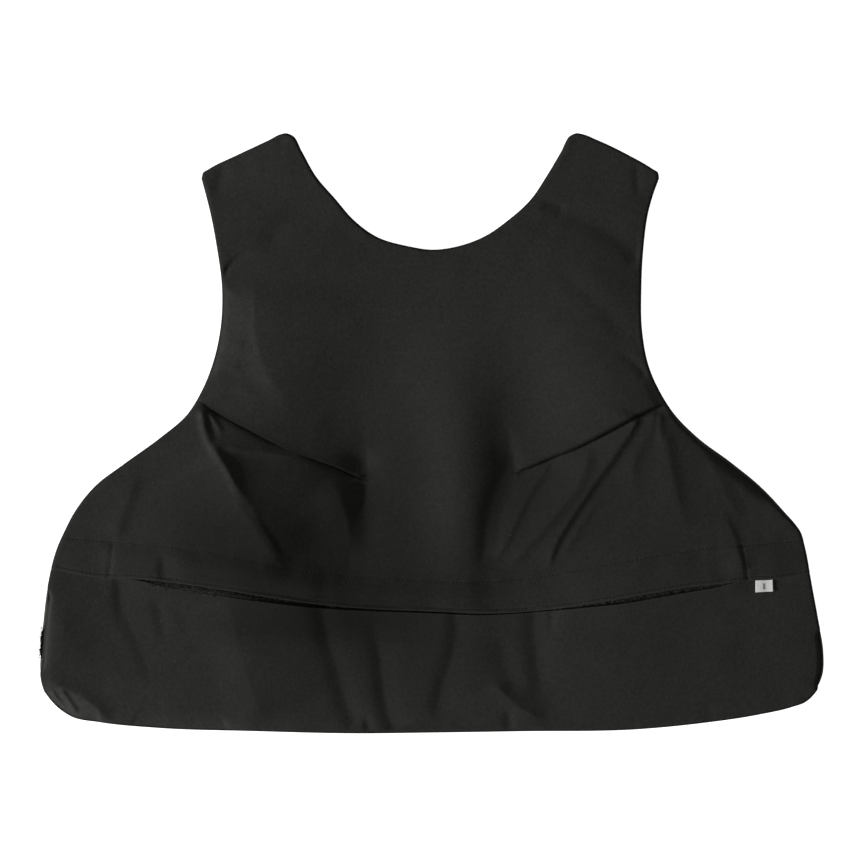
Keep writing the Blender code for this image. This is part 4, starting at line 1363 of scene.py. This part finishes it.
def scaled(tree, colour, share):
    """A colour times a share."""
    made = node(tree, "ShaderNodeVectorMath", operation="SCALE")
    tree.links.new(colour, made.inputs[0])
    tree.links.new(share, made.inputs["Scale"])
    return made.outputs[0]


def math_node(tree, operation, first, second=None):
    """A Math node; first and second are sockets or numbers."""
    made = node(tree, "ShaderNodeMath", operation=operation)
    for value, slot in ((first, made.inputs[0]), (second, made.inputs[1])):
        if value is None:
            continue
        if isinstance(value, (int, float)):
            slot.default_value = value
        else:
            tree.links.new(value, slot)
    return made.outputs[0]


def ranged(tree, value, low, high, to_low, to_high):
    """A Map Range node from one span to another, clamped."""
    made = node(tree, "ShaderNodeMapRange")
    tree.links.new(value, made.inputs["Value"])
    for key, number in (("From Min", low), ("From Max", high), ("To Min", to_low), ("To Max", to_high)):
        made.inputs[key].default_value = number
    return made.outputs["Result"]


def woven_cloth_group():
    """Twill cloth: slanting ribs crossed by yarns, mottled dye, sparse lint, edges worn paler, and painted light and
    shade.

    A rib is the sine of a slanting distance over the pitch, with a wobble, and a yarn is a finer sine up the cloth; a
    fine grain is added to both. Inputs are the place in metres, the dye's colour, the rib's pitch, the edge's wear and
    painted light and shade, which is above 0 where a pressed edge is worn paler and where painted light lies on the
    strike cloth's shown edge, and under 0 where painted shade darkens a seam, a dart's lip or the hem's underside, and
    the broad painted light and shade, the share by which a broad place is painted paler or, under 0, darker. Outputs
    are colour, roughness and a height for the bump.
    """
    group = bpy.data.node_groups.new("Woven cloth", "ShaderNodeTree")
    socket(group, "Place", "NodeSocketVector", True)
    socket(group, "Dye", "NodeSocketColor", True, (0.02, 0.02, 0.019, 1))
    socket(group, "Rib pitch", "NodeSocketFloat", True, 0.0011)
    socket(group, "Edge wear, painted light and shade", "NodeSocketFloat", True, 0.0)
    socket(group, "Broad painted light and shade", "NodeSocketFloat", True, 0.0)
    socket(group, "Colour", "NodeSocketColor", False)
    socket(group, "Roughness", "NodeSocketFloat", False)
    socket(group, "Height", "NodeSocketFloat", False)
    start, end = node(group, "NodeGroupInput"), node(group, "NodeGroupOutput")
    place, pitch = start.outputs["Place"], start.outputs["Rib pitch"]

    def times(first, second):
        return math_node(group, "MULTIPLY", first, second)

    def plus(first, second):
        return math_node(group, "ADD", first, second)

    split = node(group, "ShaderNodeSeparateXYZ")
    group.links.new(place, split.inputs[0])
    x, y = split.outputs["X"], split.outputs["Y"]
    slant = plus(plus(times(x, RIB_SLANT[0]), times(y, RIB_SLANT[1])), times(noise(group, place, 160.0), RIB_WOBBLE))
    rib = math_node(group, "SINE", times(math_node(group, "DIVIDE", slant, pitch), RIB_TURN))
    yarn = math_node(group, "SINE", times(math_node(group, "DIVIDE", y, pitch), YARN_TURN))
    grain = noise(group, place, 620.0, 2.0, 0.55)
    mottle = noise(group, place, 420.0, 3.0, 0.6)
    weave = plus(plus(times(rib, 0.30), times(yarn, 0.12)), ranged(group, grain, 0.25, 0.75, -0.6, 0.6))
    group.links.new(weave, end.inputs["Height"])
    shade = times(ranged(group, weave, -1.2, 1.2, 0.84, 1.16), ranged(group, mottle, 0.3, 0.7, 0.84, 1.16))
    # Paler for worn edges and painted light, darker for painted shade, then times the broad painted light and shade.
    paler = times(math_node(group, "MAXIMUM", start.outputs["Edge wear, painted light and shade"], 0.0), 0.25)
    darker = times(math_node(group, "MINIMUM", start.outputs["Edge wear, painted light and shade"], 0.0), 0.75)
    shade = times(times(shade, plus(plus(paler, darker), 1.0)), plus(start.outputs["Broad painted light and shade"], 1.0))
    lint = node(group, "ShaderNodeTexVoronoi")
    lint.inputs["Scale"].default_value = 130.0
    group.links.new(place, lint.inputs["Vector"])
    chosen = node(group, "ShaderNodeSeparateColor")
    group.links.new(lint.outputs["Color"], chosen.inputs[0])
    speck = times(
        ranged(group, lint.outputs["Distance"], 0.035, 0.055, 1.0, 0.0),
        ranged(group, chosen.outputs[0], 0.86, 0.90, 0.0, 1.0),
    )
    fleck = node(group, "ShaderNodeMix", data_type="RGBA")
    group.links.new(times(speck, 0.35), fleck.inputs["Factor"])
    group.links.new(scaled(group, start.outputs["Dye"], shade), fleck.inputs["A"])
    fleck.inputs["B"].default_value = (*LINT, 1)
    group.links.new(fleck.outputs["Result"], end.inputs["Colour"])
    group.links.new(ranged(group, weave, -1.2, 1.2, 0.92, 0.80), end.inputs["Roughness"])
    return group


def yarn_fuzz_group():
    """Brushed pile: clumps of yarn with dark gaps between them."""
    group = bpy.data.node_groups.new("Yarn fuzz", "ShaderNodeTree")
    socket(group, "Place", "NodeSocketVector", True)
    socket(group, "Dye", "NodeSocketColor", True, (0.012, 0.012, 0.012, 1))
    socket(group, "Colour", "NodeSocketColor", False)
    socket(group, "Height", "NodeSocketFloat", False)
    start, end = node(group, "NodeGroupInput"), node(group, "NodeGroupOutput")
    clump = noise(group, start.outputs["Place"], 800.0, 4.0, 0.7)
    group.links.new(clump, end.inputs["Height"])
    dyed = scaled(group, start.outputs["Dye"], ranged(group, clump, 0.35, 0.68, 0.15, 2.6))
    group.links.new(dyed, end.inputs["Colour"])
    return group


def new_material(name, roughness, sheen, specular):
    """A material with its Principled shader's plain numbers set; returns it with its tree and shader."""
    made = bpy.data.materials.new(name)
    made.use_nodes = True
    tree = made.node_tree
    shader = tree.nodes["Principled BSDF"]
    shader.inputs["Roughness"].default_value = roughness
    shader.inputs["Metallic"].default_value = 0.0
    shader.inputs["Sheen Weight"].default_value = sheen
    shader.inputs["Sheen Roughness"].default_value = 0.5
    shader.inputs["Specular IOR Level"].default_value = specular
    return made, tree, shader


def bump(tree, shader, height, depth):
    """A Bump node of this depth in metres, from a height to the shader's normal."""
    made = node(tree, "ShaderNodeBump")
    made.inputs["Strength"].default_value = 1.0
    made.inputs["Distance"].default_value = depth
    tree.links.new(height, made.inputs["Height"])
    tree.links.new(made.outputs["Normal"], shader.inputs["Normal"])


def cloth_material(name, weave, dye, pitch, depth, specular=0.12):
    """Woven cloth of one dye, with its rib's pitch and the depth of its weave in metres."""
    made, tree, shader = new_material(name, 0.86, 0.03, specular)
    cloth = node(tree, "ShaderNodeGroup", node_tree=weave)
    cloth.inputs["Dye"].default_value = (*dye, 1)
    cloth.inputs["Rib pitch"].default_value = pitch
    tree.links.new(node(tree, "ShaderNodeTexCoord").outputs["Object"], cloth.inputs["Place"])
    for mark, name_inside in (("edge_wear_painted_light_shade", "Edge wear, painted light and shade"), ("broad_painted_light_and_shade", "Broad painted light and shade")):
        tone = node(tree, "ShaderNodeAttribute", attribute_name=mark)
        tree.links.new(tone.outputs["Fac"], cloth.inputs[name_inside])
    tree.links.new(cloth.outputs["Colour"], shader.inputs["Base Color"])
    tree.links.new(cloth.outputs["Roughness"], shader.inputs["Roughness"])
    bump(tree, shader, cloth.outputs["Height"], depth)
    return made


def fuzz_material(name, fuzz, dye, depth):
    """Yarn or brushed pile of one dye, with the depth of its clumps in metres."""
    made, tree, shader = new_material(name, 0.97, 0.1, 0.1)
    pile = node(tree, "ShaderNodeGroup", node_tree=fuzz)
    pile.inputs["Dye"].default_value = (*dye, 1)
    tree.links.new(node(tree, "ShaderNodeTexCoord").outputs["Object"], pile.inputs["Place"])
    tree.links.new(pile.outputs["Colour"], shader.inputs["Base Color"])
    bump(tree, shader, pile.outputs["Height"], depth)
    return made


def label_material():
    """White ribbon with fine cross ribs and a plain dark bar woven in its middle."""
    made, tree, shader = new_material("White woven ribbon", 0.78, 0.1, 0.3)
    across = node(tree, "ShaderNodeAttribute", attribute_name="across").outputs["Fac"]
    upward = node(tree, "ShaderNodeAttribute", attribute_name="upward").outputs["Fac"]
    rib = math_node(tree, "SINE", math_node(tree, "MULTIPLY", across, 190.0))
    pick = math_node(tree, "SINE", math_node(tree, "MULTIPLY", upward, 120.0))
    weave = math_node(tree, "ADD", math_node(tree, "MULTIPLY", rib, 0.5), math_node(tree, "MULTIPLY", pick, 0.5))
    from_middle = math_node(tree, "ABSOLUTE", math_node(tree, "SUBTRACT", across, 0.5))
    from_height = math_node(tree, "ABSOLUTE", math_node(tree, "SUBTRACT", upward, 0.40))
    in_width = ranged(tree, from_middle, 0.055, 0.085, 1, 0)
    in_height = ranged(tree, from_height, 0.20, 0.25, 1, 0)
    bar = math_node(tree, "MULTIPLY", in_width, in_height)
    mix = node(tree, "ShaderNodeMix", data_type="RGBA")
    mix.inputs["A"].default_value = (*RIBBON, 1)
    mix.inputs["B"].default_value = (*RIBBON_BAR, 1)
    tree.links.new(math_node(tree, "MULTIPLY", bar, 0.8), mix.inputs["Factor"])
    shade = ranged(tree, weave, -1, 1, 0.80, 1.0)
    tree.links.new(scaled(tree, mix.outputs["Result"], shade), shader.inputs["Base Color"])
    bump(tree, shader, weave, 0.00006)
    return made


def pale_floor():
    """A flat square that looks white to the camera and takes the panel's shadow."""
    side = FLOOR_HALF
    mesh = bpy.data.meshes.new("floor")
    mesh.from_pydata([(-side, -side, 0), (side, -side, 0), (side, side, 0), (-side, side, 0)], [], [(0, 1, 2, 3)])
    floor = bpy.data.objects.new("floor", mesh)
    bpy.context.scene.collection.objects.link(floor)
    pale, tree, shader = new_material("Pale floor", 0.9, 0.0, 0.1)
    shader.inputs["Base Color"].default_value = (0.75, 0.75, 0.75, 1)
    shader.inputs["Emission Color"].default_value = (1, 1, 1, 1)
    tree.links.new(node(tree, "ShaderNodeLightPath").outputs["Is Camera Ray"], shader.inputs["Emission Strength"])
    mesh.materials.append(pale)
    floor.location.z = -FLOOR_BELOW


def white_surroundings():
    """Even white all round: full white to the camera, and a weak light from everywhere on the panel."""
    world = bpy.data.worlds.new("white surroundings")
    bpy.context.scene.world = world
    world.use_nodes = True
    tree = world.node_tree
    sky = tree.nodes["Background"]
    sky.inputs["Color"].default_value = (1, 1, 1, 1)
    sky.inputs["Strength"].default_value = SKY
    seen = node(tree, "ShaderNodeBackground")
    seen.inputs["Color"].default_value = (1, 1, 1, 1)
    mix = node(tree, "ShaderNodeMixShader")
    tree.links.new(node(tree, "ShaderNodeLightPath").outputs["Is Camera Ray"], mix.inputs["Fac"])
    tree.links.new(sky.outputs[0], mix.inputs[1])
    tree.links.new(seen.outputs[0], mix.inputs[2])
    tree.links.new(mix.outputs[0], tree.nodes["World Output"].inputs["Surface"])


def low_light():
    """A soft low light from the left, turned to come from KEY_FROM."""
    lamp = bpy.data.lights.new("low light", "SUN")
    lamp.energy = KEY
    lamp.angle = np.radians(KEY_SPREAD)
    key = bpy.data.objects.new("low light", lamp)
    x, y, z = KEY_FROM
    key.rotation_euler = (0, np.arctan2(np.hypot(x, y), z), np.arctan2(y, x))
    bpy.context.scene.collection.objects.link(key)


def long_lens():
    """A camera straight above the picture's middle, at the height where the picture spans its width at the rim."""
    lens = bpy.data.cameras.new("camera")
    lens.lens = LENS
    lens.sensor_width = SENSOR
    lens.clip_start, lens.clip_end = 0.1, 50.0
    camera = bpy.data.objects.new("camera", lens)
    reach = PICTURE_HALF * PIXEL * MM * LENS / (SENSOR / 2)
    x, y = on_panel((PICTURE_HALF, PICTURE_HALF)) * MM
    camera.location = (x, y, reach + RIM_PLANE * MM)
    bpy.context.scene.collection.objects.link(camera)
    bpy.context.scene.camera = camera
    bpy.context.scene.view_settings.view_transform = "Standard"


def main():
    """Loads the part, makes each piece of cloth, tape and thread in the place of its solid, and sets the scene."""
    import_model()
    weave, fuzz = woven_cloth_group(), yarn_fuzz_group()
    body_cloth = cloth_material("Charcoal body cloth", weave, BODY_DYE, 0.0005, 0.00007)
    strike = cloth_material("Charcoal strike cloth", weave, STRIKE_DYE, 0.0005, 0.00007)
    sealed = cloth_material("Sealed pack cloth", weave, PACK_DYE, 0.0006, 0.00005, specular=0.5)
    tape = fuzz_material("Black loop pile", fuzz, TAPE_DYE, 0.0004)
    # Pile yarn painted lighter than the tape, for the light its loops catch.
    yarn = fuzz_material("Pile yarn with painted light", fuzz, PILE_YARN_PAINTED_LIGHTER, 0.0001)
    thread = fuzz_material("Black sewing thread", fuzz, THREAD_DYE, 0.00008)
    made = {
        "upper": upper_cloth(body_cloth),
        "lower": lower_cloth(body_cloth),
        "strike": strike_cloth(strike),
        "pack": soft_pack(sealed),
        "tape": loop_tape(tape),
        "slot pile": loops_in_the_slot(yarn),
        "stitches": stitches(thread),
        "label": size_label(label_material()),
        "side tape": edge_tape(tape),
        "side pile": side_pile(yarn),
    }
    stands_for = {
        "upper": ("upper_cover", "hem_facing"),
        "lower": ("lower_cover",),
        "strike": ("outer_cover",),
        "pack": ("armour_pack",),
        "tape": ("loop_tape",),
        "label": ("size_label",),
        "side tape": ("edge_tape",),
    }
    for key, piece in made.items():
        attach(piece, "root")
        if key in stands_for:
            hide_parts(*stands_for[key])
    pale_floor()
    white_surroundings()
    low_light()
    long_lens()


main()
